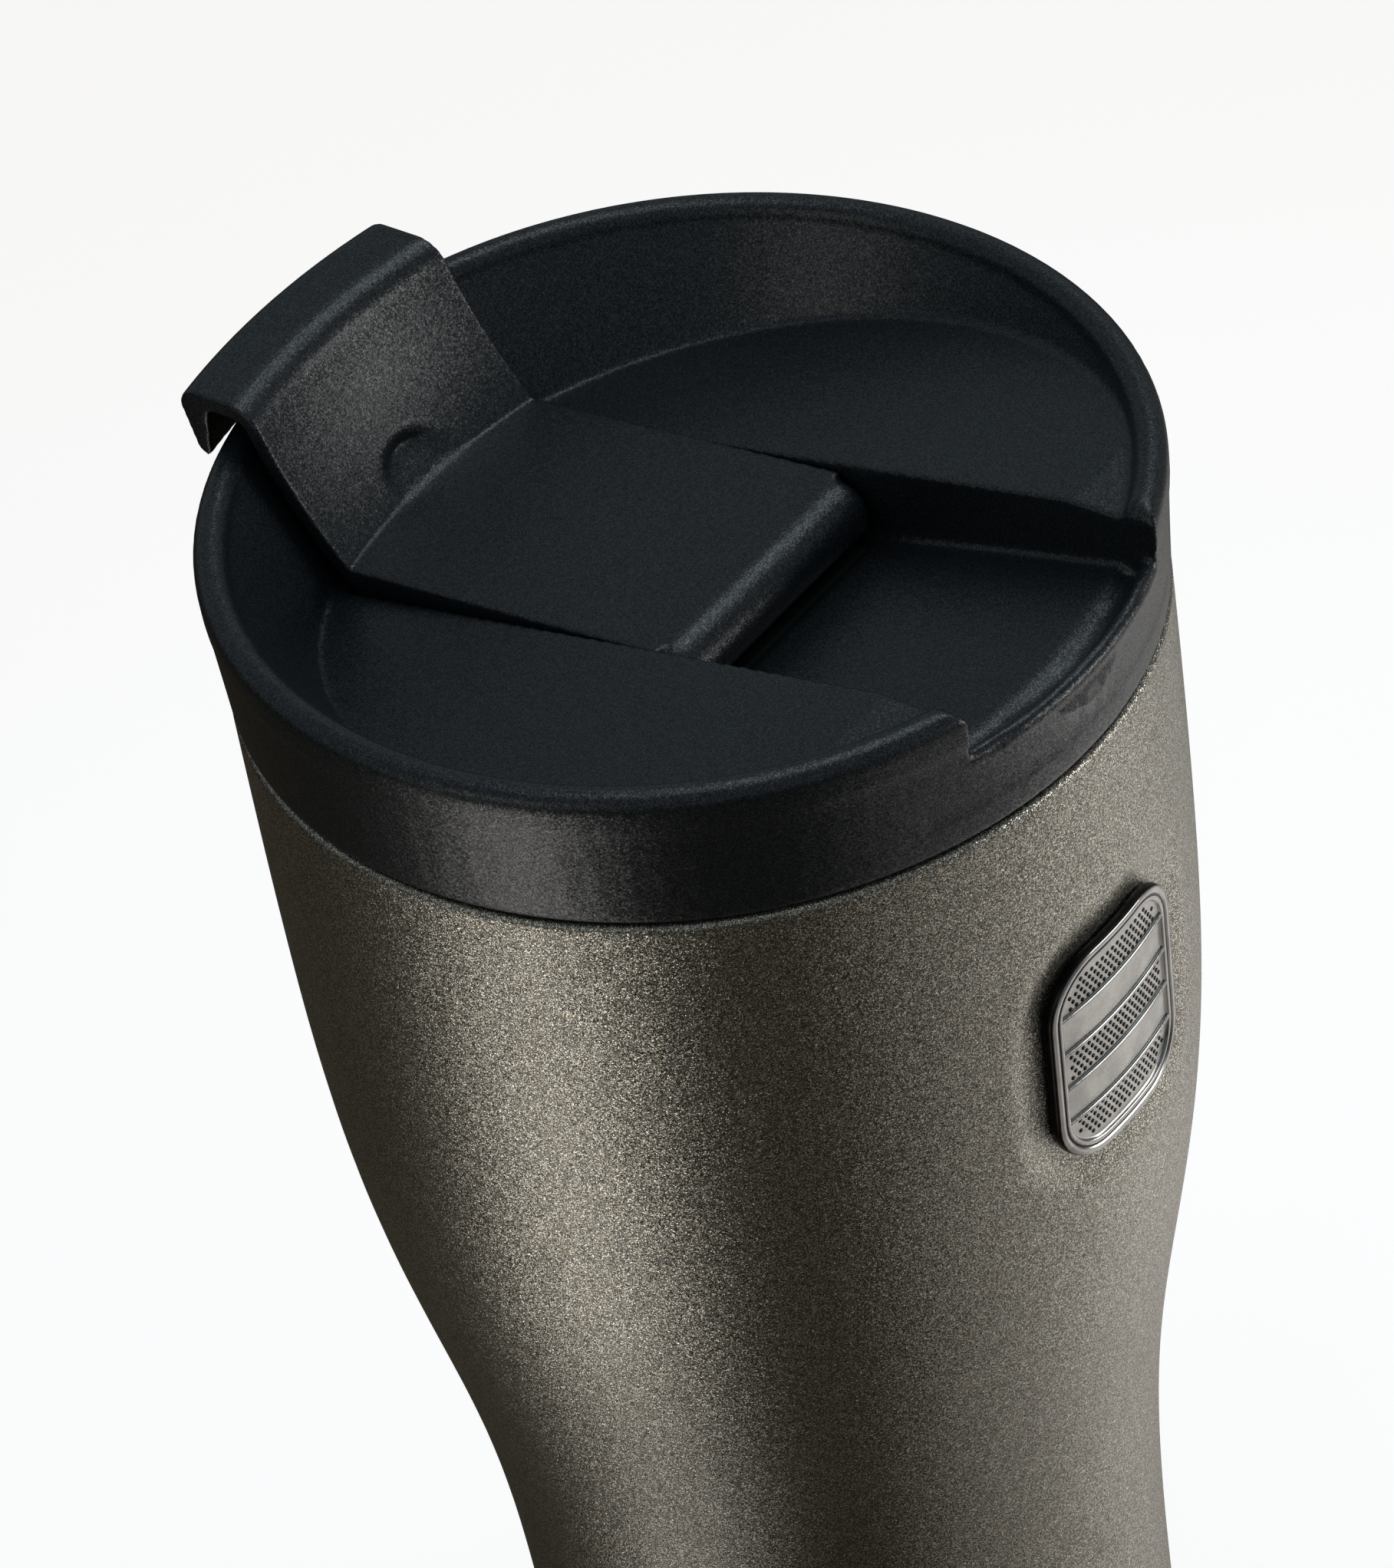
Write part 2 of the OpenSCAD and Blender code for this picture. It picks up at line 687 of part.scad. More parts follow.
// Nose bar with rounded ends, from edge to edge of the plate
module nose() {
    half = flap_w / 2;
    c = [nose_r - nose_round, half - nose_round];
    translate(hinge) rotate([0, 90, 0])
        rotate_extrude() polygon(concat([[0, -half]], arc([c[0], -c[1]], nose_round, -90, 0, 8),
            arc(c, nose_round, 0, 90, 8), [[0, half]]));
}

module flap() {
    relief_w = seal_w + 1;
    relief_l = seal_l / 2 + 0.6;
    color([0.13, 0.14, 0.15])
    translate([0, 0, overall_h])
    difference() {
        union() {
            plate();
            nose();
            strap();
            translate(hinge) cross_rod(pin_r, flap_w + 3);
        }
        // flow relief under the nose, clear of the pins
        translate(hinge + [-relief_w / 2, -nose_r - 1, -nose_r - 1])
            cube([relief_w, nose_r + 1 + relief_l, nose_r]);
        // thumb dent in the strap's face above the bend
        translate([0, bend[0], bend[1]]) rotate([strap_rise, 0, 0])
            translate([0, dent_from, 0]) d_pocket(dent[0] / 2, dent[1], dent_depth);
    }
}

// D-shaped pocket: flush at its straight side, deepening to its arc at +Y
module d_pocket(half_w, reach, depth) {
    r = d_radius(half_w, reach);
    intersection() {
        translate([0, reach - r, -depth - 1]) cylinder(r = r, h = depth + 3);
        rotate([-atan(depth / reach), 0, 0])
            translate([-big / 2, -big / 2, 0]) cube([big, big, big]);
        translate([-big / 2, 0, -big / 2]) cube([big, reach + 1, big]);
    }
}

outer_shell();
inner_liner();
shell_base();
radiation_foil();
getter_clip();
getter();
vacuum_seal_bead();
foot_pad();
badge_tape();
badge();
lid_shell();
lid_plug();
lid_gasket();
spout_gasket();
flap();
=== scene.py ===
# %% [markdown]
# # An insulated travel mug
#
# The mug is a waisted, double-walled steel body with a metallic powder coat, and a black moulded
# lid pushed into its mouth. A flap lies in the lid's channel, turned back, ready to drink.
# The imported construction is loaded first. It fixes every size, and the pieces made here sit on it.

# %% Load the construction
import math

import bmesh
import bpy
import numpy as np
from mathutils import Matrix, Vector


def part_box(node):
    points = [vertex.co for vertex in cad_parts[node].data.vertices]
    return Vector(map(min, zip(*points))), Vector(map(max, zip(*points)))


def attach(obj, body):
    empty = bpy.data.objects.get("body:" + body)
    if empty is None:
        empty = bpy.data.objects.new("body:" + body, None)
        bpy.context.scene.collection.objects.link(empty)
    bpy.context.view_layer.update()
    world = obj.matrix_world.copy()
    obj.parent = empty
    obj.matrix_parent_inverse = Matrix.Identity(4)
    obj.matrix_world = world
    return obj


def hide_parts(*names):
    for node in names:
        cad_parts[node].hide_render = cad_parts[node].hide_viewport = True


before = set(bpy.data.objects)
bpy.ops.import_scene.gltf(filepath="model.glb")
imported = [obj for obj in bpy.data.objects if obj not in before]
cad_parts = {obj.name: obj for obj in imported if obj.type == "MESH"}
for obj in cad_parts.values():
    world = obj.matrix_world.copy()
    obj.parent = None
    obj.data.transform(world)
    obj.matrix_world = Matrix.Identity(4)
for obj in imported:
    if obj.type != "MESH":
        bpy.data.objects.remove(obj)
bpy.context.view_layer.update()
print("construction:", ", ".join(sorted(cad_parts)))

# %% [markdown]
# ## Sizes
#
# Everything is in metres, with the foot on z = 0 and the drinking edge towards -Y. Heights and
# radii are read from the construction where it has them, so that a change there carries through.

# %% Sizes read from the construction
MM = 0.001
shell_low, shell_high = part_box("outer_shell")
badge_low, badge_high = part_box("badge")

lip_z = shell_high.z
foot_z = shell_low.z
shoulder_r = shell_high.x
badge_z = (badge_low.z + badge_high.z) / 2
badge_w = badge_high.x - badge_low.x
badge_h = badge_high.z - badge_low.z
print(f"body from {foot_z:.4f} to {lip_z:.4f} m, badge {badge_w:.4f} by {badge_h:.4f} m")

# %% [markdown]
# ## Helpers for node trees
#
# A geometry or shader tree is a chain of small sums. Written out node by node it is long and hard
# to read. So `Term` stands for a number that flows through a tree: adding or multiplying two of
# them makes the Math node that does it. `Nodes` adds any other node and links what it is given.

# %% Numbers that flow through a tree


class Term:
    """The result of a node. Arithmetic on it adds Math nodes to the same tree."""

    def __init__(self, nodes, socket):
        self.nodes = nodes
        self.socket = socket

    def __add__(self, other):
        return self.nodes.math("ADD", self, other)

    def __sub__(self, other):
        return self.nodes.math("SUBTRACT", self, other)

    def __rsub__(self, other):
        return self.nodes.math("SUBTRACT", other, self)

    def __mul__(self, other):
        return self.nodes.math("MULTIPLY", self, other)

    def __truediv__(self, other):
        return self.nodes.math("DIVIDE", self, other)

    def __neg__(self):
        return self * -1.0

    __radd__ = __add__


# %% A small writer for node trees


class Nodes:
    """Adds nodes to a tree and links them as they are made."""

    def __init__(self, tree):
        self.tree = tree

    def add(self, kind, inputs=(), out=0, **settings):
        node = self.tree.nodes.new(kind)
        for name, value in settings.items():
            setattr(node, name, value)
        pairs = inputs.items() if isinstance(inputs, dict) else enumerate(inputs)
        for key, value in pairs:
            self.give(node.inputs[key], value)
        return Term(self, node.outputs[out])

    def give(self, socket, value):
        if isinstance(value, Term):
            self.tree.links.new(value.socket, socket)
        else:
            socket.default_value = value

    def math(self, operation, *values):
        return self.add("ShaderNodeMath", values, operation=operation)

    def ramp(self, value, low, high, to_low=0.0, to_high=1.0, style="LINEAR"):
        inputs = {"Value": value, "From Min": low, "From Max": high}
        inputs.update({"To Min": to_low, "To Max": to_high})
        return self.add("ShaderNodeMapRange", inputs, interpolation_type=style, clamp=True)

    def split(self, vector):
        node = self.add("ShaderNodeSeparateXYZ", [vector]).socket.node
        return [Term(self, socket) for socket in node.outputs]

    def join(self, x, y, z):
        return self.add("ShaderNodeCombineXYZ", [x, y, z])


# %% [markdown]
# ## Finishes
#
# Each finish is one material built from procedural patterns on Object coordinates, so a pattern
# keeps its real size on every piece. Values that are the same all over stand on the shader's own
# sockets. Patterns only drive colour, roughness and bump.

# %% What the finishes share


def finish(name, **constants):
    """A new material: its shader's constants are set, and its tree is ready for patterns."""
    material = bpy.data.materials.new(name)
    material.use_nodes = True
    n = Nodes(material.node_tree)
    shader = next(x for x in n.tree.nodes if x.type == "BSDF_PRINCIPLED")
    for label, value in constants.items():
        shader.inputs[label.replace("_", " ")].default_value = value
    place = n.add("ShaderNodeTexCoord", out=3)
    return material, shader.inputs, n, place


def cells(n, place, scale):
    """A random value for each cell of a Voronoi pattern: brightness, tilt or gloss of a grain."""
    colour = n.add("ShaderNodeTexVoronoi", {"Vector": place, "Scale": scale}, out=1)
    node = n.add("ShaderNodeSeparateColor", [colour]).socket.node
    return [Term(n, socket) for socket in node.outputs]


def noise(n, place, scale, detail=2.0):
    return n.add("ShaderNodeTexNoise", {"Vector": place, "Scale": scale, "Detail": detail})


# %% From a pattern to colour, gloss and bump


def swung(n, pattern, middle, swing, low=0.3, high=0.7):
    """A value that swings about its middle with a pattern. A noise seldom leaves 0.3 to 0.7."""
    return n.ramp(pattern, low, high, middle - swing, middle + swing)


def blend_colours(n, factor, first, second):
    sockets = {0: factor, 6: (*first, 1.0), 7: (*second, 1.0)}
    return n.add("ShaderNodeMix", sockets, out=2, data_type="RGBA")


def bump(n, shader, height, depth, strength=1.0):
    sockets = {"Height": height, "Distance": depth, "Strength": strength}
    n.give(shader["Normal"], n.add("ShaderNodeBump", sockets))


def lean(n, shader, place, scale, amount):
    """Each cell's surface leans its own way, so some catch a light beside the mirror angle."""
    colour = n.add("ShaderNodeTexVoronoi", {"Vector": place, "Scale": scale}, out=1)
    off = n.add("ShaderNodeVectorMath", {0: colour, 1: (0.5, 0.5, 0.5)}, operation="SUBTRACT")
    push = n.add("ShaderNodeVectorMath", {0: off, 3: amount}, operation="SCALE")
    flat = n.add("ShaderNodeNewGeometry", out=1)
    leant = n.add("ShaderNodeVectorMath", {0: flat, 1: push}, operation="ADD")
    n.give(shader["Normal"], n.add("ShaderNodeVectorMath", [leant], operation="NORMALIZE"))


print("helpers: cells and noise, then swung, blend_colours, bump and lean")

# %% [markdown]
# ### Powder coat
#
# The body is sprayed with a metallic powder in champagne grey. Seen close, it is a field of fine
# flakes: each one lies at its own angle, so some flash and some stay dark. One could scatter real
# flakes, but a cell pattern does it with no mesh at all: every cell, less than a tenth of a
# millimetre wide, gets its own warmth and gloss, over a slow drift where the spray was thicker.
# Each cell's colour is also made brighter or darker at random. That is a painted glint: it stands
# for the flash of a flake that catches the light, and runs up to a few times the coat's own colour.
# A bump between cells this small would average out, so the shader's normal is leant by each
# cell's random colour instead, and a whole flake catches a light or misses it.

# %% Powder coat
FLAKES, DRIFTS = 13000.0, 55.0  # in a metre
FLAKE_LEANS, FLAKE_LEAN = 0.8 * FLAKES, 0.45
WARM, PALE_GREY = (0.362, 0.308, 0.224), (0.336, 0.350, 0.337)
DULL, PAINTED_FLASH = 0.36, 3.2
FLAKE_GLOSS, FLAKE_SWING = 0.33, 0.07


def powder_coat():
    material, shader, n, place = finish("powder_coat_champagne", Metallic=0.9)
    flash, gloss, hue = cells(n, place, FLAKES)
    drift = noise(n, place, DRIFTS)
    tone = blend_colours(n, hue, WARM, PALE_GREY)
    # painted glint: each flake's colour is brightened at random, standing for the flash it catches
    bright = flash * flash
    shade = (bright * bright * PAINTED_FLASH + DULL) * swung(n, drift, 1.0, 0.03)
    scaled = n.add("ShaderNodeVectorMath", {0: tone, 3: shade}, operation="SCALE")
    n.give(shader["Base Color"], scaled)
    n.give(shader["Roughness"], swung(n, gloss, FLAKE_GLOSS, FLAKE_SWING, 0.0, 1.0))
    lean(n, shader, place, FLAKE_LEANS, FLAKE_LEAN)
    return material


coat = powder_coat()
print("made", coat.name)

# %% [markdown]
# ### Moulded plastic
#
# The lid and the flap are black polypropylene from a spark-eroded mould. The mould leaves a fine
# pebbled grain that breaks up the gloss. It is made as the flakes are, only gentler: each pebble,
# a tenth of a millimetre wide, has its own shine and slight lean, and a lighter or darker colour,
# which is a painted glint standing for the grain catching the light. A slow cloud in the roughness
# stands for handling.

# %% Moulded plastic
PEBBLES, CLOUDS = 10000.0, 60.0  # in a metre
PEBBLE_LEANS, PEBBLE_LEAN = 0.7 * PEBBLES, 0.18
BLACK, GLINT_SPECK_BLACK = (0.0040, 0.0060, 0.0080), (0.0200, 0.0250, 0.0300)
PEBBLE_GLOSS, PEBBLE_SWING, HAND_SWING = 0.34, 0.06, 0.02
LEAST_SHINE, MOST_SHINE = 0.26, 1.15


def moulded_plastic():
    material, shader, n, place = finish("moulded_plastic", IOR=1.49)
    speck, sheen, shine = cells(n, place, PEBBLES)
    hand = noise(n, place, CLOUDS)
    # painted glint: lighter pebbles stand for the grain catching the light
    n.give(shader["Base Color"], blend_colours(n, speck * speck, BLACK, GLINT_SPECK_BLACK))
    level = n.ramp(shine * shine, 0.0, 1.0, LEAST_SHINE, MOST_SHINE)
    n.give(shader["Specular IOR Level"], level)
    pebbled = swung(n, sheen, PEBBLE_GLOSS, PEBBLE_SWING, 0.0, 1.0)
    n.give(shader["Roughness"], pebbled + swung(n, hand, 0.0, HAND_SWING))
    lean(n, shader, place, PEBBLE_LEANS, PEBBLE_LEAN)
    return material


plastic = moulded_plastic()
print("made", plastic.name)

# %% [markdown]
# ### Steel, rubber and the hidden layers
#
# The liner and the base plate are drawn and turned, so their lines run round the mug's axis: a
# noise that reads only radius and height gives rings. The foot pad and gaskets are matt and
# finely grained. Foil, getter, bead and tape lie inside the wall, and get their own finish too.

# %% Turned steel and matt rubber
TURNED_LINES, STEEL_CLOUDS = 3000.0, 90.0  # in a metre
LINE_BREAKS = 0.6  # in a radian
STEEL, PALE_STEEL = (0.46, 0.455, 0.44), (0.58, 0.57, 0.55)
RUBBER_GRAIN, RUBBER_DUST = 2800.0, 240.0  # in a metre


def turned_steel():
    material, shader, n, place = finish("turned_steel", Metallic=1.0)
    x, y, z = n.split(place)
    radius = n.math("SQRT", x * x + y * y)
    around = n.math("ARCTAN2", y, x) * LINE_BREAKS
    rings = n.join(radius * TURNED_LINES, around, z * TURNED_LINES)
    lines = noise(n, rings, 1.0, 3.0)
    cloud = noise(n, place, STEEL_CLOUDS)
    n.give(shader["Base Color"], blend_colours(n, cloud, STEEL, PALE_STEEL))
    n.give(shader["Roughness"], swung(n, lines, 0.32, 0.08))
    bump(n, shader, lines, 0.00001, 0.5)
    return material


def matt_rubber(name, dark, pale, gloss):
    material, shader, n, place = finish(name, IOR=1.43)
    grain = noise(n, place, RUBBER_GRAIN)
    dust = noise(n, place, RUBBER_DUST, 4.0)
    n.give(shader["Base Color"], blend_colours(n, n.ramp(dust, 0.4, 0.75), dark, pale))
    n.give(shader["Roughness"], swung(n, grain, gloss, 0.07))
    bump(n, shader, grain, 0.00005, 0.5)
    return material


metal = turned_steel()
pad = matt_rubber("rubber_pad", (0.016, 0.016, 0.017), (0.030, 0.029, 0.028), 0.72)
ring = matt_rubber("silicone_ring", (0.020, 0.021, 0.022), (0.034, 0.034, 0.034), 0.5)
print("made", metal.name, pad.name, ring.name)

# %% The hidden layers


def hidden_layer(name, metallic, dark, pale, gloss, size, depth):
    material, shader, n, place = finish(name, Metallic=metallic)
    pattern = noise(n, place, 1.0 / size, 3.0)
    n.give(shader["Base Color"], blend_colours(n, pattern, dark, pale))
    n.give(shader["Roughness"], swung(n, pattern, gloss, 0.08))
    bump(n, shader, pattern, depth)
    return material


# (name, metallic, dark, pale, roughness, size of the pattern, depth of the bump)
HIDDEN_LAYERS = {
    "radiation_foil": (
        "copper_foil", 1.0, (0.62, 0.33, 0.22), (0.80, 0.47, 0.33), 0.3, 0.003, 0.0002
    ),
    "getter_clip": (
        "clip_steel", 1.0, (0.44, 0.43, 0.42), (0.56, 0.55, 0.54), 0.35, 0.0006, 0.00001
    ),
    "getter": (
        "sintered_getter", 0.8, (0.15, 0.15, 0.15), (0.27, 0.26, 0.25), 0.7, 0.0004, 0.00005
    ),
    "vacuum_seal_bead": (
        "glass_solder", 0.0, (0.05, 0.06, 0.06), (0.10, 0.11, 0.11), 0.2, 0.0008, 0.00004
    ),
    "badge_tape": (
        "foam_tape", 0.0, (0.55, 0.54, 0.50), (0.70, 0.69, 0.65), 0.8, 0.0002, 0.00003
    ),
}  # fmt: skip
kept_finishes = {node: hidden_layer(*layer) for node, layer in HIDDEN_LAYERS.items()}
kept_finishes.update(inner_liner=metal, shell_base=metal, foot_pad=pad)
kept_finishes.update(lid_gasket=ring, spout_gasket=ring)
for node, material in kept_finishes.items():
    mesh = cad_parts[node].data
    mesh.materials.clear()
    mesh.materials.append(material)
print("finished", len(kept_finishes), "pieces of the construction")

# %% [markdown]
# ## A tree that becomes a piece
#
# A Geometry Nodes tree is a recipe with named inputs. `Form` opens such a recipe, and its `make`
# closes it: instances are made real, the finish is set, the inputs are given to a modifier by
# their identifiers, and the result is kept as a plain mesh, so nothing live is left on the piece.

# %% Kinds of input, and a new object
SOCKET_KINDS = {
    int: "NodeSocketInt",
    float: "NodeSocketFloat",
    bpy.types.Material: "NodeSocketMaterial",
}


def new_object(name, mesh):
    piece = bpy.data.objects.new(name, mesh)
    bpy.context.scene.collection.objects.link(piece)
    return piece


print("inputs of a form:", ", ".join(SOCKET_KINDS.values()))

# %% A tree that becomes a piece


class Form(Nodes):
    """A geometry tree with named inputs. Sizes are read back with form[name]."""

    def __init__(self, name, **sizes):
        super().__init__(bpy.data.node_groups.new(name, "GeometryNodeTree"))
        face = self.tree.interface
        face.new_socket("Geometry", in_out="OUTPUT", socket_type="NodeSocketGeometry")
        self.given = {}
        for label, value in sizes.items():
            kind = SOCKET_KINDS[type(value)]
            socket = face.new_socket(label, in_out="INPUT", socket_type=kind)
            self.given[socket.identifier] = value
        self.sources = self.tree.nodes.new("NodeGroupInput").outputs

    def __getitem__(self, label):
        return Term(self, self.sources[label])

    def place(self, geometry, x, y, z):
        sockets = {"Geometry": geometry, "Position": self.join(x, y, z)}
        return self.add("GeometryNodeSetPosition", sockets)

    def make(self, geometry, name):
        real = self.add("GeometryNodeRealizeInstances", [geometry])
        smooth = self.add("GeometryNodeSetShadeSmooth", [real])
        painted = self.add("GeometryNodeSetMaterial", {0: smooth, "Material": self["finish"]})
        self.give(self.tree.nodes.new("NodeGroupOutput").inputs[0], painted)
        maker = new_object(name + "_maker", bpy.data.meshes.new(name))
        modifier = maker.modifiers.new(name, "NODES")
        modifier.node_group = self.tree
        for identifier, value in self.given.items():
            modifier[identifier] = value
        seen = maker.evaluated_get(bpy.context.evaluated_depsgraph_get())
        mesh = bpy.data.meshes.new_from_object(seen)
        bpy.data.objects.remove(maker)
        return new_object(name, mesh)


# %% [markdown]
# ## The body shell
#
# The outer wall is a spun steel tube: its radius follows a rule from foot to lip, so a rule makes
# it. A flat grid is rolled up, with the seam at the back and the columns crowded to the front, and
# each point takes its radius from its height. The dimple for the badge is pressed in by the
# distance from a rounded box: full depth under the badge, fading out over a few millimetres.
# Cutting it out instead would leave a hard edge that a real press never makes.

# %% The shell's rule
SWELL = {
    "shoulder": shoulder_r,
    "waist": 31.2 * MM,
    "swell_height": 100.0 * MM,
    "swell_length": 13.4 * MM,
}


def shell_radius(z):
    """Radius of the shell above its foot's flare."""
    rise = (SWELL["swell_height"] - z) / SWELL["swell_length"]
    return SWELL["waist"] + (SWELL["shoulder"] - SWELL["waist"]) / (1 + math.exp(rise))


print(f"radius half way up: {shell_radius((foot_z + lip_z) / 2):.4f} m")

# %% The sizes of the body shell
DIMPLE_DEPTH = 1.1 * MM
BADGE_CORNER = 6.0 * MM
SEAM_GAP = 0.001 * MM
badge_slope = (shell_radius(badge_high.z) - shell_radius(badge_low.z)) / badge_h
body = Form(
    "body_form",
    **SWELL,
    flare=1.8 * MM,
    ring_height=6.0 * MM,
    flare_length=14.0 * MM,
    foot=foot_z,
    lip=lip_z,
    lip_round=0.65 * MM,
    lip_flat=1.45 * MM,
    crowding=0.55,
    columns=224,
    wall_rows=176,
    lip_rows=8,
    badge_height=badge_z,
    badge_half_width=badge_w / 2,
    badge_half_height=badge_h / 2,
    badge_corner=BADGE_CORNER,
    dimple_radius=shell_radius(badge_z) - DIMPLE_DEPTH,
    dimple_slope=badge_slope,
    dimple_margin=0.5 * MM,
    dimple_fade=4.2 * MM,
    finish=coat,
)
print("body form:", len(body.given), "inputs")

# %% A grid rolled up
rows = body["wall_rows"] + body["lip_rows"] + 1.0
counts = {"Vertices X": body["columns"] + 1.0, "Vertices Y": rows + 1.0}
grid = body.add("GeometryNodeMeshGrid", {"Size X": 1.0, "Size Y": 1.0, **counts})
across, up, _ = body.split(body.add("GeometryNodeInputPosition"))
turn = (across + 0.5) * math.tau
angle = turn + body["crowding"] * body.math("SINE", turn) + math.pi / 2
row = (up + 0.5) * rows
lip_row = row - body["wall_rows"]
print("rows: the wall's, then the lip's, then one that runs flat inwards")

# %% Height and radius of each point
wall_top = body["lip"] - body["lip_round"]
wall_z = body.ramp(row, 0.0, body["wall_rows"], body["foot"], wall_top)
lip_turn = body.ramp(lip_row, 0.0, body["lip_rows"], 0.0, math.pi / 2)
flat = body.ramp(lip_row - body["lip_rows"], 0.0, 1.0, 0.0, body["lip_flat"])
z = wall_z + body["lip_round"] * body.math("SINE", lip_turn)
rise = (body["swell_height"] - wall_z) / body["swell_length"]
swell = (body["shoulder"] - body["waist"]) / (1.0 + body.math("EXPONENT", rise))
over_ring = body.math("MAXIMUM", wall_z - body["ring_height"], 0.0)
flare = body["flare"] * body.math("EXPONENT", -over_ring / body["flare_length"])
trunk = body["waist"] + swell + flare
radius = trunk - body["lip_round"] * (1.0 - body.math("COSINE", lip_turn)) - flat
print("body form:", len(body.tree.nodes), "nodes so far")

# %% [markdown]
# The dimple needs the distance to the badge's outline. For a box with rounded corners it is short:
# take how far a point lies beyond the inner box in each direction, and measure that as a length.
# Under the badge the wall is pressed to a plain cone, which the badge's flat back can lie on.

# %% The dimple


def beyond_box(form, x, y, half_width, half_height, corner):
    """Distance beyond the outline of a box with rounded corners, negative inside it."""
    over_x = form.math("ABSOLUTE", x) - (half_width - corner)
    over_y = form.math("ABSOLUTE", y) - (half_height - corner)
    out_x, out_y = form.math("MAXIMUM", over_x, 0.0), form.math("MAXIMUM", over_y, 0.0)
    inside = form.math("MINIMUM", form.math("MAXIMUM", over_x, over_y), 0.0)
    return form.math("SQRT", out_x * out_x + out_y * out_y) + inside - corner


side, level = radius * body.math("COSINE", angle), z - body["badge_height"]
badge_outline = [body["badge_half_width"], body["badge_half_height"], body["badge_corner"]]
beyond = beyond_box(body, side, level, *badge_outline)
fade_end = body["dimple_margin"] + body["dimple_fade"]
in_front = body.math("LESS_THAN", body.math("SINE", angle), 0.0)
pressed = body.ramp(beyond, body["dimple_margin"], fade_end, 1.0, 0.0, "SMOOTHSTEP") * in_front
bed = body["dimple_radius"] + body["dimple_slope"] * level
radius = radius + (bed - radius) * pressed
rolled = body.place(grid, radius * body.math("COSINE", angle), radius * body.math("SINE", angle), z)
closed = body.add("GeometryNodeMergeByDistance", {"Geometry": rolled, "Distance": SEAM_GAP})
body_shell = body.make(closed, "body_shell")
print("body shell:", len(body_shell.data.polygons), "faces in one skin")

# %% The wall's thickness
WALL_T = 0.6 * MM
wall = body_shell.modifiers.new("sheet", "SOLIDIFY")
wall.thickness = WALL_T
wall.offset = -1.0
print(f"wall: {WALL_T / MM:.1f} mm, laid inwards")

# %% [markdown]
# ## The badge
#
# A cast plaque in gunmetal with a polished frame and level bars, and a field of small enamel dots
# in every other band. It could be carved from one block, but the frame is a profile swept round a
# rounded rectangle, the bars and dots repeat, and all of it bends round the body. So each is made
# flat, where it is easy to think about, and then laid on the cone of the body.

# %% Badge finishes
TARNISH = 420.0  # in a metre


def cast_metal(name, dark, pale, gloss, grain):
    material, shader, n, place = finish(name, Metallic=1.0)
    skin = noise(n, place, grain, 3.0)
    tarnish = noise(n, place, TARNISH)
    n.give(shader["Base Color"], blend_colours(n, n.ramp(tarnish, 0.35, 0.65), dark, pale))
    n.give(shader["Roughness"], swung(n, skin, gloss, 0.05))
    bump(n, shader, skin, 0.00002, 0.5)
    return material


polished = cast_metal("badge_polished", (0.30, 0.295, 0.285), (0.40, 0.39, 0.375), 0.2, 1800.0)
satin = cast_metal("badge_satin", (0.42, 0.415, 0.395), (0.54, 0.53, 0.50), 0.42, 3500.0)
enamel = cast_metal("badge_enamel", (0.016, 0.016, 0.016), (0.03, 0.03, 0.03), 0.32, 2500.0)
print("made", polished.name, satin.name, enamel.name)

# %% Laying flat work on the body
TAPE_T = 0.2 * MM
badge_back = shell_radius(badge_z) - DIMPLE_DEPTH + TAPE_T


def on_body(x, y, height):
    """A flat point laid on the cone of the body, with height counted from the badge's back."""
    r = badge_back + badge_slope * y + height
    return Vector((x, -math.sqrt(r * r - x * x), badge_z + y))


print(f"middle of the badge's back: {-on_body(0.0, 0.0, 0.0).y:.4f} m from the axis")

# %% The badge's outline
CORNER_STEPS, SIDE_STEPS = 10, 8
LEAST_CORNER = 0.3 * MM


def rounded_outline(inset):
    """Points round the badge's edge, moved inward by inset, anticlockwise from the right."""
    corner = max(BADGE_CORNER - inset, LEAST_CORNER)
    centre = Vector((badge_w / 2 - inset - corner, badge_h / 2 - inset - corner))
    arcs = []
    for quarter, (sx, sy) in enumerate([(1, 1), (-1, 1), (-1, -1), (1, -1)]):
        middle = Vector((sx * centre.x, sy * centre.y))
        turns = [math.pi / 2 * (quarter + i / CORNER_STEPS) for i in range(CORNER_STEPS + 1)]
        arcs.append([middle + corner * Vector((math.cos(a), math.sin(a))) for a in turns])
    points = []
    for arc, following in zip(arcs, arcs[1:] + arcs[:1]):
        side = [arc[-1].lerp(following[0], s / SIDE_STEPS) for s in range(1, SIDE_STEPS)]
        points += arc + side
    return points


print("outline:", len(rounded_outline(0.0)), "points")

# %% A skin over rings


def lofted(name, rings, finishes, mark):
    """Skins rings of equal count, closed at both ends. mark gives each band's finish."""
    bm = bmesh.new()
    skins = [[bm.verts.new(point) for point in ring] for ring in rings]
    count = len(rings[0])
    for band, (low, high) in enumerate(zip(skins, skins[1:])):
        for i in range(count):
            j = (i + 1) % count
            bm.faces.new([low[i], low[j], high[j], high[i]]).material_index = mark[band]
    for ring, index in ((skins[0], mark[0]), (skins[-1], mark[-1])):
        middle = bm.verts.new(sum((v.co for v in ring), Vector()) / count)
        for i in range(count):
            bm.faces.new([ring[i], ring[(i + 1) % count], middle]).material_index = index
    bmesh.ops.recalc_face_normals(bm, faces=bm.faces)
    for face in bm.faces:
        face.smooth = True
    mesh = bpy.data.meshes.new(name)
    bm.to_mesh(mesh)
    bm.free()
    for material in finishes:
        mesh.materials.append(material)
    return new_object(name, mesh)


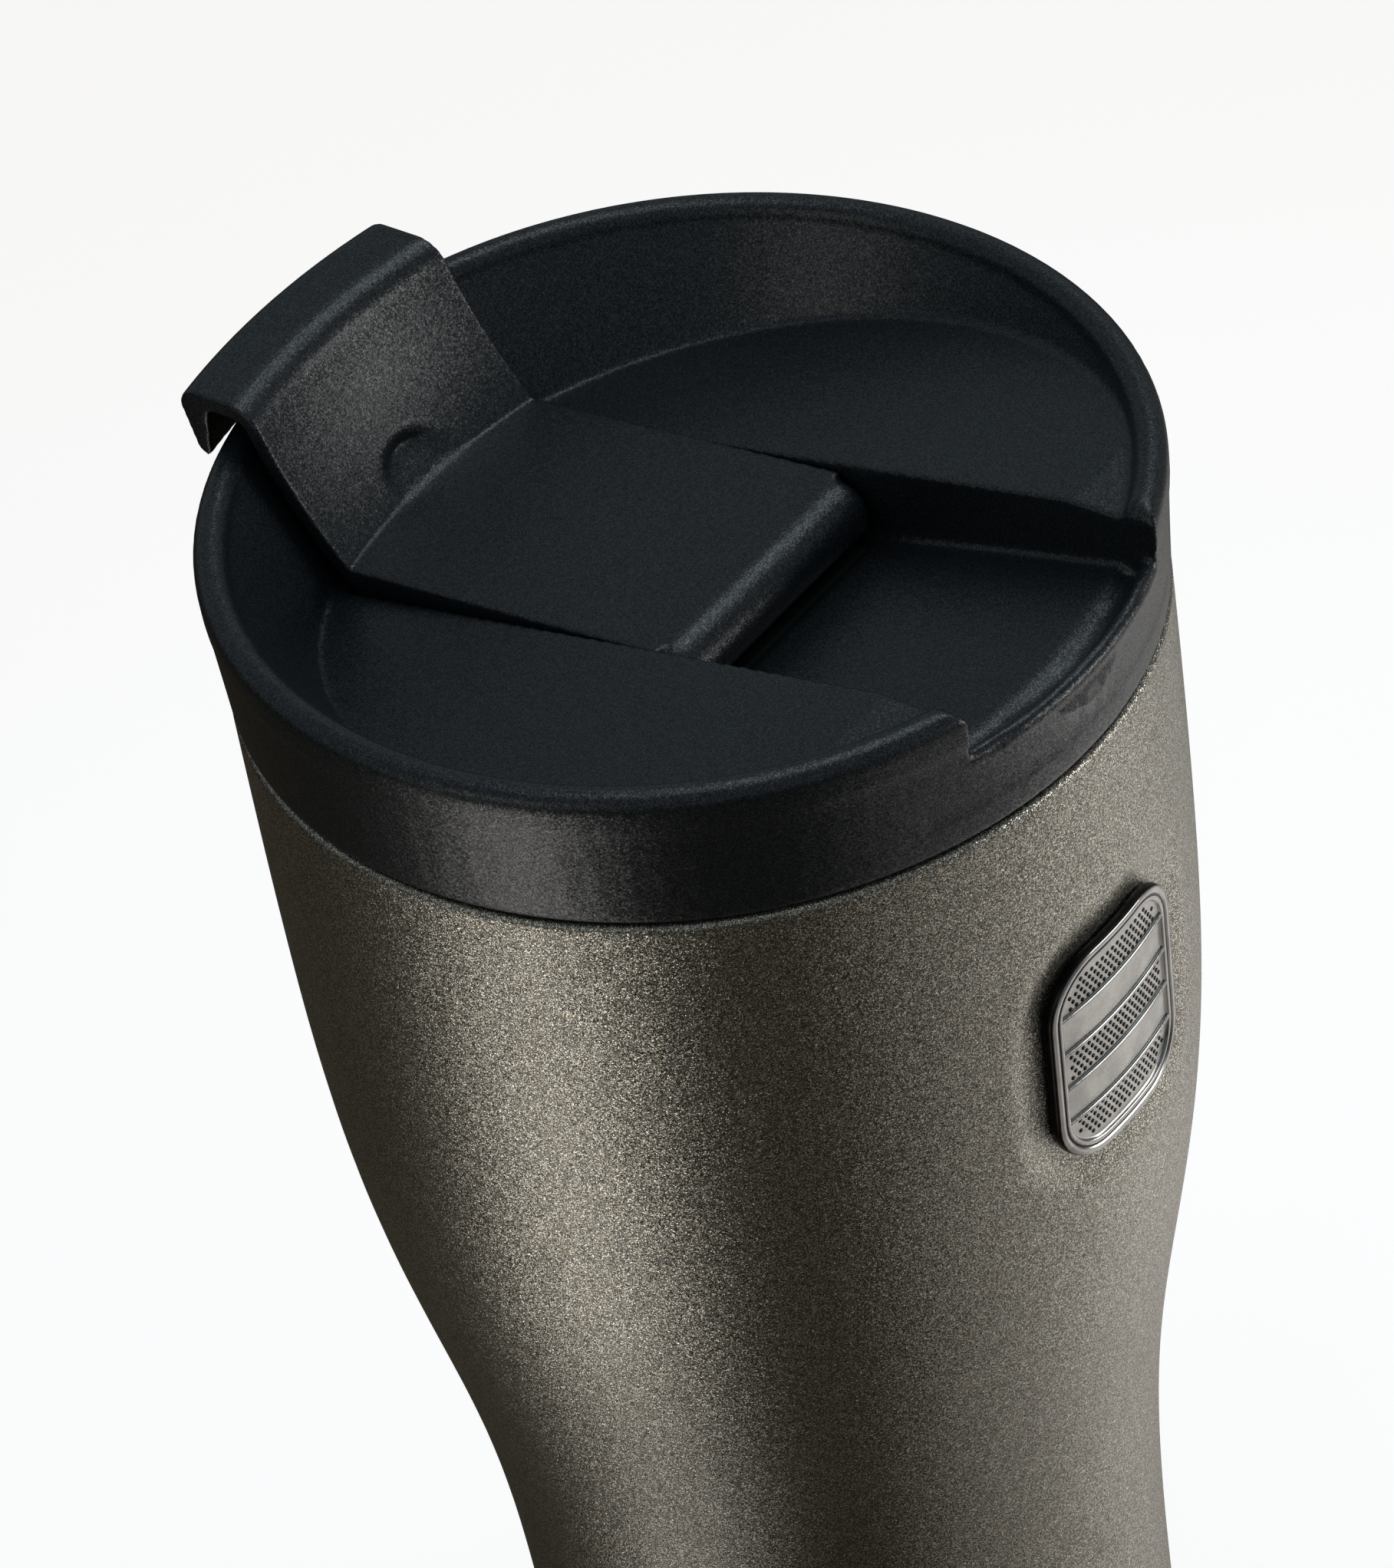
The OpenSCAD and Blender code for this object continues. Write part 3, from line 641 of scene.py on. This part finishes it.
# %% The badge's plate
# Inset and height of the profile in millimetres, from the middle of its back to the middle of its
# face, and each band's finish
DARK, BRIGHT, SATIN = 0, 1, 2
plate_profile = [
    (7.0, 0.0, DARK), (3.0, 0.0, DARK), (0.35, 0.0, DARK), (0.1, 0.12, DARK),
    (0.0, 0.3, DARK), (0.0, 0.88, DARK), (0.06, 1.02, BRIGHT), (0.2, 1.1, BRIGHT),
    (0.6, 1.1, BRIGHT), (0.72, 1.06, BRIGHT), (0.8, 0.95, DARK), (0.95, 0.93, DARK),
    (1.05, 0.98, BRIGHT), (1.35, 0.98, BRIGHT), (1.5, 0.9, BRIGHT), (1.6, 0.66, SATIN),
    (1.75, 0.65, SATIN), (2.6, 0.65, SATIN), (3.6, 0.65, SATIN), (5.0, 0.65, SATIN),
    (6.6, 0.65, SATIN), (8.2, 0.65, SATIN),
]  # fmt: skip
rings = []
for inset, height, _ in plate_profile:
    rings.append([on_body(p.x, p.y, height * MM) for p in rounded_outline(inset * MM)])
marks = [mark for _, _, mark in plate_profile[:-1]]
badge_plate = lofted("badge_plate", rings, [enamel, polished, satin], marks)
print("badge plate:", len(badge_plate.data.polygons), "faces")

# %% [markdown]
# Bars and dots repeat, so a tree sets them out: points on a line or a grid, one small shape on
# each, and the same bending as the plate. A dot is only kept where its point lies in the first,
# third or fifth band, clear of the bars and of the frame's round corners.

# %% The badge's field
FRAME_W = 1.6 * MM
field = {
    "half_width": badge_w / 2 - FRAME_W,
    "half_height": badge_h / 2 - FRAME_W,
    "corner": BADGE_CORNER - FRAME_W,
    "ground": 0.65 * MM,
    "bar_count": 4,
    "back_radius": badge_back,
    "slope": badge_slope,
    "middle_height": badge_z,
}


def laid_on_body(form, geometry):
    real = form.add("GeometryNodeRealizeInstances", [geometry])
    x, y, height = form.split(form.add("GeometryNodeInputPosition"))
    radius = form["back_radius"] + form["slope"] * y + height
    reach = form.math("SQRT", radius * radius - x * x)
    return form.place(real, x, -reach, form["middle_height"] + y)


def band_height(form):
    return form["half_height"] * 2.0 / (form["bar_count"] + 1.0)


print("field:", field["bar_count"], "bars part", field["bar_count"] + 1, "bands")

# %% The level bars
BAR_POINTS, BAR_SIDES = 28, 10
SUNK_END = 0.3 * MM
bars = Form("badge_bars", **field, bar_radius=0.34 * MM, finish=polished)
half = bars["half_width"] + SUNK_END
start, end = bars.join(-half, 0.0, 0.0), bars.join(half, 0.0, 0.0)
spine = bars.add("GeometryNodeCurvePrimitiveLine", {"Start": start, "End": end})
spine = bars.add("GeometryNodeResampleCurve", {"Curve": spine, "Count": BAR_POINTS})
round_section = {"Resolution": BAR_SIDES, "Radius": bars["bar_radius"]}
section = bars.add("GeometryNodeCurvePrimitiveCircle", round_section)
swept = {"Curve": spine, "Profile Curve": section, "Fill Caps": True}
bar = bars.add("GeometryNodeCurveToMesh", swept)
pitch = band_height(bars)
first = bars.join(0.0, pitch - bars["half_height"], bars["ground"])
step = bars.join(0.0, pitch, 0.0)
line = {"Count": bars["bar_count"], "Start Location": first, "Offset": step}
points = bars.add("GeometryNodeMeshLine", line)
rack = bars.add("GeometryNodeInstanceOnPoints", {"Points": points, "Instance": bar})
badge_bars = bars.make(laid_on_body(bars, rack), "badge_bars")
print("bars:", len(badge_bars.data.polygons), "faces")

# %% A net of points for the dots
DOT_COLUMNS, DOT_ROWS, ROW_SHARE = 27, 33, 0.8
DOT_SIDES = 10
dots = Form(
    "badge_dots",
    **field,
    dot_pitch=0.78 * MM,
    dot_radius=0.21 * MM,
    dot_height=0.1 * MM,
    clear=0.62 * MM,
    finish=enamel,
)
dot_row = dots["dot_pitch"] * ROW_SHARE
span = {"Size X": dots["dot_pitch"] * (DOT_COLUMNS - 1.0), "Size Y": dot_row * (DOT_ROWS - 1.0)}
counts = {"Vertices X": DOT_COLUMNS, "Vertices Y": DOT_ROWS}
net = dots.add("GeometryNodeMeshGrid", {**span, **counts})
x, y, _ = dots.split(dots.add("GeometryNodeInputPosition"))
row = dots.math("ROUND", y / dot_row)
shifted = x + dots["dot_pitch"] * 0.5 * dots.math("FLOORED_MODULO", row, 2.0)
net = dots.place(net, shifted, y, dots["ground"])
print("net:", DOT_COLUMNS, "by", DOT_ROWS, "points, every other row shifted by half a step")

# %% The enamel dots
pitch = band_height(dots)
bands = (y + dots["half_height"]) / pitch
dotted = dots.math("LESS_THAN", dots.math("FLOORED_MODULO", bands, 2.0), 1.0)
nearest = dots.math("ABSOLUTE", dots.math("FRACT", bands) - 0.5) * pitch
clear_of_bars = dots.math("LESS_THAN", nearest, pitch * 0.5 - dots["clear"])
x, y, _ = dots.split(dots.add("GeometryNodeInputPosition"))
beyond = beyond_box(dots, x, y, dots["half_width"], dots["half_height"], dots["corner"])
clear_of_edge = dots.math("LESS_THAN", beyond, -dots["clear"])
kept = dotted * clear_of_bars * clear_of_edge
pill = {"Vertices": DOT_SIDES, "Radius": dots["dot_radius"], "Depth": dots["dot_height"]}
dot = dots.add("GeometryNodeMeshCylinder", pill)
sowing = {"Points": net, "Selection": kept, "Instance": dot}
sown = dots.add("GeometryNodeInstanceOnPoints", sowing)
badge_dots = dots.make(laid_on_body(dots, sown), "badge_dots")
print("dots:", len(badge_dots.data.polygons), "faces")

# %% One plaque


def joined(name, pieces):
    with bpy.context.temp_override(active_object=pieces[0], selected_editable_objects=pieces):
        bpy.ops.object.join()
    pieces[0].name = name
    return pieces[0]


badge_plaque = joined("badge_plaque", [badge_plate, badge_bars, badge_dots])
print("badge:", len(badge_plaque.data.polygons), "faces")

# %% [markdown]
# ## Softened mouldings
#
# The lid, its plug and the flap are right in form, but their edges are knife-sharp, and no mould
# can fill such an edge. A bevel can round them, but where cuts meet at narrow angles it crosses
# itself. So each skin is rebuilt on a fine grid of cubes, which has no narrow faces, and then
# every point is drawn a little towards its neighbours. Flat places stay flat, and each edge and
# each hollow gets the small radius of a moulding. Flat stretches are thinned out at the end.
#
# The construction's triangles are loose, so they are merged into one closed skin first.

# %% A skin from loose triangles
WELD = 0.01 * MM


def merged_copy(node):
    """One closed skin with the same triangles as the node. The node's own mesh is untouched."""
    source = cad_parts[node].data
    faces = [face.vertices[:] for face in source.polygons]
    mesh = bpy.data.meshes.new(node)
    mesh.from_pydata([v.co for v in source.vertices], [], faces)
    bm = bmesh.new()
    bm.from_mesh(mesh)
    bmesh.ops.remove_doubles(bm, verts=bm.verts, dist=WELD)
    bmesh.ops.recalc_face_normals(bm, faces=bm.faces)
    bm.to_mesh(mesh)
    bm.free()
    print(f"{node}: {len(source.vertices)} loose points, {len(mesh.vertices)} merged")
    return mesh


# %% Points and edges as arrays


def points_of(mesh):
    spots = np.empty(len(mesh.vertices) * 3)
    mesh.vertices.foreach_get("co", spots)
    return spots.reshape(-1, 3)


def put_points(mesh, spots):
    mesh.vertices.foreach_set("co", spots.ravel())
    mesh.update()
    return mesh


def ends_of(mesh):
    """The two points of each edge."""
    ends = np.empty(len(mesh.edges) * 2, dtype=np.int64)
    mesh.edges.foreach_get("vertices", ends)
    return ends.reshape(-1, 2)


shell_points, shell_ends = points_of(body_shell.data), ends_of(body_shell.data)
print("body shell:", len(shell_points), "points and", len(shell_ends), "edges as arrays")

# %% [markdown]
# Two places are relaxed further, inside a box each: the sill that one drinks over, and the dent
# behind the flap's bend. Only the points in the box and their neighbours are worked on, so that
# many passes take little time. The pull fades out towards the box's sides.

# %% Relaxing a box further


def melted(mesh, places):
    """Relaxes some boxes: (middle, half size, passes) each."""
    spots, ends = points_of(mesh), ends_of(mesh)
    for middle, half, passes in places:
        off = np.abs((spots - middle) / half).max(axis=1)
        pull = np.clip(2.0 * (1.0 - off), 0.0, 1.0)
        near = ends[(pull[ends] > 0.0).any(axis=1)]
        points, local = np.unique(near, return_inverse=True)
        first, second = local.reshape(-1, 2).T
        own, other = np.concatenate([first, second]), np.concatenate([second, first])
        size = len(points)
        count = np.bincount(own, minlength=size)[:, None]
        place, pull = spots[points], 0.5 * pull[points, None]
        for _ in range(passes):
            total = [np.bincount(own, weights=place[other, k], minlength=size) for k in range(3)]
            place = place + pull * (np.stack(total, axis=1) / count - place)
        spots[points] = place
        print("relaxed", size, "points in a box,", passes, "passes")
    return put_points(mesh, spots)


# %% [markdown]
# The drinking lip's outer face is laid on the skirt's own taper, because the construction's lip
# stands a hair proud of it. The small nub under the lip is raised from that face by a rule: a
# wedge that starts flush at its top and ends at a half-round lower edge.

# %% The drinking lip's outer face
# Heights, radii and sizes in millimetres
TAPER_HEIGHTS, TAPER_RADII = [175.8, 185.4], [42.1, 42.75]
LIP_FACE_LOW, LIP_FACE_HIGH, LIP_FACE_Y = 178.5, 184.0, -38.0
LIP_EDGE_START = 183.0
SKIN_DEPTH = 0.15
NUB_TOP, NUB_H, NUB_HALF, NUB_OUT, NUB_EDGE = 183.2, 1.9, 4.35, 0.5, 0.3


def faired_lip(mesh):
    """The drinking lip's outer face runs on in the skirt's taper, and carries its nub."""
    spots = points_of(mesh)
    x, y, z = spots.T / MM
    radius = np.hypot(x, y)
    taper = np.interp(z, TAPER_HEIGHTS, TAPER_RADII)
    outside = (y < LIP_FACE_Y) & (radius > taper - SKIN_DEPTH)
    chosen = outside & (z > LIP_FACE_LOW) & (z < LIP_FACE_HIGH)
    proud = radius - taper
    proud = np.where(proud > 0.0, proud * np.clip(z - LIP_EDGE_START, 0.0, 1.0), proud)
    lower_edge = NUB_TOP - NUB_H * np.sqrt(np.clip(1.0 - (x / NUB_HALF) ** 2, 0.0, 1.0))
    slope = np.clip((NUB_TOP - z) / NUB_H, 0.0, 1.0)
    nub = NUB_OUT * slope * np.clip((z - lower_edge) / NUB_EDGE + 0.5, 0.0, 1.0)
    nub = np.where(np.abs(x) < NUB_HALF, nub, 0.0)
    spots[chosen, :2] *= ((taper + proud + nub) / radius)[chosen, None]
    print("drinking lip's face:", int(chosen.sum()), "points laid")
    return put_points(mesh, spots)


# %% [markdown]
# Where two faces of a piece nearly touch, the grid can leave a crumb beside the skin. To find
# crumbs, each point takes the lowest number among its neighbours', again and again, until every
# connected skin has one number of its own. Only the largest skin is kept.

# %% Taking off crumbs


def without_crumbs(mesh):
    ends = ends_of(mesh)
    label, before = np.arange(len(mesh.vertices)), None
    while before is None or (label != before).any():
        before, label = label, label.copy()
        lowest = before[ends].min(axis=1)
        np.minimum.at(label, ends[:, 0], lowest)
        np.minimum.at(label, ends[:, 1], lowest)
        label = label[label]
    largest = np.bincount(label).argmax()
    if (label != largest).any():
        bm = bmesh.new()
        bm.from_mesh(mesh)
        crumbs = [vert for vert, own in zip(bm.verts, label) if own != largest]
        bmesh.ops.delete(bm, geom=crumbs, context="VERTS")
        bm.to_mesh(mesh)
        bm.free()
        print(len(crumbs), "points in crumbs taken off")


# %% Regrid, relax and thin out


def settled(maker):
    """The plain mesh of an object with its modifiers done. The object goes."""
    seen = maker.evaluated_get(bpy.context.evaluated_depsgraph_get())
    result = bpy.data.meshes.new_from_object(seen)
    bpy.data.objects.remove(maker)
    return result


def softened(node, name, grid, passes, triangles, places=(), dressed=None):
    """The node's skin with soft edges, in at most so many triangles."""
    maker = new_object("grid_maker", merged_copy(node))
    regrid = maker.modifiers.new("grid", "REMESH")
    regrid.mode = "VOXEL"
    regrid.voxel_size = grid
    relax = maker.modifiers.new("relax", "SMOOTH")
    relax.factor, relax.iterations = 0.5, passes
    result = melted(settled(maker), places)
    if dressed is not None:
        result = dressed(result)
    found = sum(len(face.vertices) - 2 for face in result.polygons)
    if found > triangles:
        maker = new_object("thin_maker", result)
        thin = maker.modifiers.new("thin", "DECIMATE")
        thin.ratio = triangles / found
        result = settled(maker)
    without_crumbs(result)
    for face in result.polygons:
        face.use_smooth = True
    result.materials.clear()
    result.materials.append(plastic)
    print(name, found, "triangles on the grid,", len(result.polygons), "faces kept")
    return new_object(name, result)


# %% The lid, its plug and the flap
SILL = [((0.0, -0.0380, 0.1812), (0.0135, 0.0036, 0.0036), 90)]
DENT = [((0.0005, 0.0305, 0.1808), (0.0062, 0.0045, 0.0045), 60)]
lid_moulding = softened("lid_shell", "lid_moulding", 0.32 * MM, 4, 190000, SILL, faired_lip)
flap_moulding = softened("flap", "flap_moulding", 0.24 * MM, 5, 150000, DENT)
plug_moulding = softened("lid_plug", "plug_moulding", 0.4 * MM, 3, 80000)

# %% [markdown]
# ## Joining the pieces to the construction
#
# Each piece rides on the body that carries it, and stands for the node it was made from, which
# is hidden.

# %% Joining the pieces to the construction
for piece, body_name, node in (
    (body_shell, "mug", "outer_shell"),
    (badge_plaque, "mug", "badge"),
    (lid_moulding, "lid", "lid_shell"),
    (plug_moulding, "lid", "lid_plug"),
    (flap_moulding, "flap", "flap"),
):
    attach(piece, body_name)
    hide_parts(node)
print("pieces joined")

# %% [markdown]
# ## Stage, light and camera
#
# The mug stands on a plain pale floor. To the camera, floor and world give their pale colour by
# themselves, so no lamp has to be turned up to make them white, and the floor takes the mug's
# shadow near its foot. An upright gloss seen from above mirrors mostly the floor. So the floor
# glows to the gloss in stretches round the mug, like a lamp, and gives it no glow between them,
# where a photographer would lay black card. This glow paints the long bright and dark streaks
# reflected on the coat. The lamps only add to this: a small warm card on the floor in front to the
# left, a broad upright box at the right, cool ones high at the back and overhead, and a weak one in
# front.

# %% What each kind of ray sees of the floor
VIEW_AZIMUTH = -48.09  # the camera's side, in degrees from -Y towards +X
# Stretches where the floor glows to the gloss, in degrees from the camera's side, and how
# strongly. Between them the floor gives the gloss no glow, as black card would.
GLOSS_GLOW_STRETCHES = [(-69.0, -36.0, 0.95), (29.0, 72.0, 0.42), (72.0, 120.0, 1.0), (120.0, 150.0, 0.5)]
GLOW_EDGE = 9.0
# The glow is weaker close to the mug and far away: the distances of each fade, and the share left
CLOSE_START, CLOSE_END, CLOSE_SHARE = 0.05, 0.12, 0.4
AWAY_START, AWAY_END, AWAY_SHARE = 0.2, 0.5, 0.2


def ray_kinds(n):
    rays = n.tree.nodes.new("ShaderNodeLightPath").outputs
    return [Term(n, rays[k]) for k in ("Is Camera Ray", "Is Glossy Ray", "Is Transmission Ray")]


def floor_glow_in_gloss(n, around, far):
    """How strongly the floor glows to the gloss, by the angle round the mug and the distance."""
    total = 0.0
    for low, high, share in GLOSS_GLOW_STRETCHES:
        half, soft = (high - low) / 2, GLOW_EDGE / 2
        off = n.math("ABSOLUTE", n.math("WRAP", around - (low + half), 180.0, -180.0))
        total = n.ramp(off, half - soft, half + soft, share, 0.0, "SMOOTHSTEP") + total
    close = n.ramp(far, CLOSE_START, CLOSE_END, CLOSE_SHARE, 1.0)
    return total * close * n.ramp(far, AWAY_START, AWAY_END, 1.0, AWAY_SHARE)


print("stretches of floor in gloss:", len(GLOSS_GLOW_STRETCHES))

# %% Floor
PALE, FAR_PALE = (0.985, 0.958, 0.945), (0.975, 0.975, 0.978)
# The camera sees a lit floor near the mug, which fades to an even glow between these distances
LIT_END, EVEN_START = 0.10, 0.42
NEAR_GLOW, FAR_GLOW = 0.695, 0.92
# What the floor throws back by diffusion, and what the camera sees on top of it, near the mug
THROWN, SEEN = (0.11, 0.08, 0.05), (0.69, 0.72, 0.75)
FLOOR_SIZE, FLOOR_GAP = 12.0, 0.2 * MM


def pale_floor():
    material = bpy.data.materials.new("pale_floor")
    material.use_nodes = True
    material.node_tree.nodes.clear()
    n = Nodes(material.node_tree)
    camera, glossy, through = ray_kinds(n)
    x, y, _ = n.split(n.add("ShaderNodeTexCoord", out=3))
    around = n.math("ARCTAN2", x, -y) * (180.0 / math.pi) - VIEW_AZIMUTH
    far = n.math("SQRT", x * x + y * y)
    near = n.ramp(far, LIT_END, EVEN_START, 1.0, 0.0, "SMOOTHSTEP")
    tint = n.join(*(camera * near * seen + thrown for seen, thrown in zip(SEEN, THROWN)))
    lit = n.add("ShaderNodeBsdfDiffuse", {"Color": tint})
    glow = n.ramp(near, 0.0, 1.0, FAR_GLOW, NEAR_GLOW)
    # the glow that the gloss sees paints the streaks reflected on the coat
    shown = (camera + through) * glow + glossy * floor_glow_in_gloss(n, around, far)
    tone = blend_colours(n, near, FAR_PALE, PALE)
    light = n.add("ShaderNodeEmission", {"Color": tone, "Strength": shown})
    both = n.add("ShaderNodeAddShader", [lit, light])
    n.give(n.tree.nodes.new("ShaderNodeOutputMaterial").inputs["Surface"], both)
    return material


bpy.ops.mesh.primitive_grid_add(x_subdivisions=2, y_subdivisions=2, size=FLOOR_SIZE)
floor = bpy.context.object
floor.name = "floor"
floor.location.z = -FLOOR_GAP
floor.data.materials.append(pale_floor())
print("floor:", FLOOR_SIZE, "m wide")

# %% World
SKY, DIM_SKY, SKY_GLOW = (0.80, 0.94, 1.0), 0.21, 0.97
world = bpy.data.worlds.new("studio")
bpy.context.scene.world = world
world.use_nodes = True
world.node_tree.nodes.clear()
n = Nodes(world.node_tree)
camera, _, through = ray_kinds(n)
dim = n.add("ShaderNodeBackground", {"Color": (*SKY, 1.0), "Strength": DIM_SKY})
bright = n.add("ShaderNodeBackground", {"Color": (*FAR_PALE, 1.0), "Strength": SKY_GLOW})
mixed = n.add("ShaderNodeMixShader", [camera + through, dim, bright])
n.give(n.tree.nodes.new("ShaderNodeOutputWorld").inputs["Surface"], mixed)
print("world: dim to the mug, pale to the camera")

# %% [markdown]
# ### Lamps
#
# Each lamp is a soft box: its size sets how wide its light lies on the gloss, and its distance how
# fast that light falls off. They stand round the mug by their turn from the camera's side, so that
# a lamp can be moved along its ring without working out x and y.

# %% Lamps


def lamp(name, turn, reach, height, tilt, size_x, size_y, power, colour):
    """A soft box: turn to the right of the camera, reach from the axis, tilted from upright."""
    a, e = math.radians(VIEW_AZIMUTH + turn), math.radians(tilt)
    away = Vector((math.sin(a) * math.cos(e), -math.cos(a) * math.cos(e), math.sin(e)))
    light = bpy.data.lights.new(name, "AREA")
    light.shape = "RECTANGLE"
    light.size, light.size_y = size_x, size_y
    light.energy = power
    light.color = colour
    box = bpy.data.objects.new(name, light)
    bpy.context.scene.collection.objects.link(box)
    facing = away.to_track_quat("Z", "Y").to_matrix().to_4x4()
    place = Vector((math.sin(a) * reach, -math.cos(a) * reach, height))
    box.matrix_world = Matrix.Translation(place) @ facing
    box.visible_camera = False


# Turn and tilt are in degrees, lengths in metres, and power in watts.
LAMPS = [
    # name, turn, reach, height, tilt, size_x, size_y, power, colour
    ("low_card", -50.0, 0.215, 0.013, -80.0, 0.08, 0.12, 0.054, (1.0, 0.96, 0.90)),
    ("side", 82.0, 0.899, 0.177, 3.0, 0.4, 0.45, 2.7, (1.0, 0.99, 0.97)),
    ("back", 142.0, 0.45, 0.909, 60.0, 0.45, 0.45, 1.1, (0.84, 0.94, 1.0)),
    ("top", 0.0, 0.0, 0.95, 89.0, 0.4, 0.4, 0.5, (0.84, 0.94, 1.0)),
    ("front_left", -48.0, 0.834, 0.467, 22.0, 0.4, 0.4, 0.35, (1.0, 0.95, 0.9)),
]
for settings in LAMPS:
    lamp(*settings)
print("lamps:", len(LAMPS))

# %% [markdown]
# ### Camera
#
# The camera looks down over the rim with a long lens, which keeps near and far parts close to
# their true proportions. It is rolled a little, so the mug leans in the frame.

# %% Camera
EYE = Vector((-0.348973, -0.309669, 0.550310))
AIM = Vector((-0.001766, 0.001968, 0.154969))
ROLL = math.radians(-9.608)
FOCAL_LENGTH, SENSOR_HEIGHT = 154.764, 36.0  # in millimetres
lens = bpy.data.cameras.new("camera")
lens.lens = FOCAL_LENGTH
lens.sensor_fit = "VERTICAL"
lens.sensor_height = SENSOR_HEIGHT
viewer = bpy.data.objects.new("camera", lens)
bpy.context.scene.collection.objects.link(viewer)
upright = (EYE - AIM).to_track_quat("Z", "Y").to_matrix().to_4x4()
viewer.matrix_world = Matrix.Translation(EYE) @ upright @ Matrix.Rotation(ROLL, 4, "Z")
bpy.context.scene.camera = viewer
bpy.context.scene.view_settings.view_transform = "Standard"
print(f"camera: {FOCAL_LENGTH:.0f} mm, {(EYE - AIM).length:.2f} m from what it looks at")

# %% [markdown]
# ## The end

# %% The end
print("scene built")
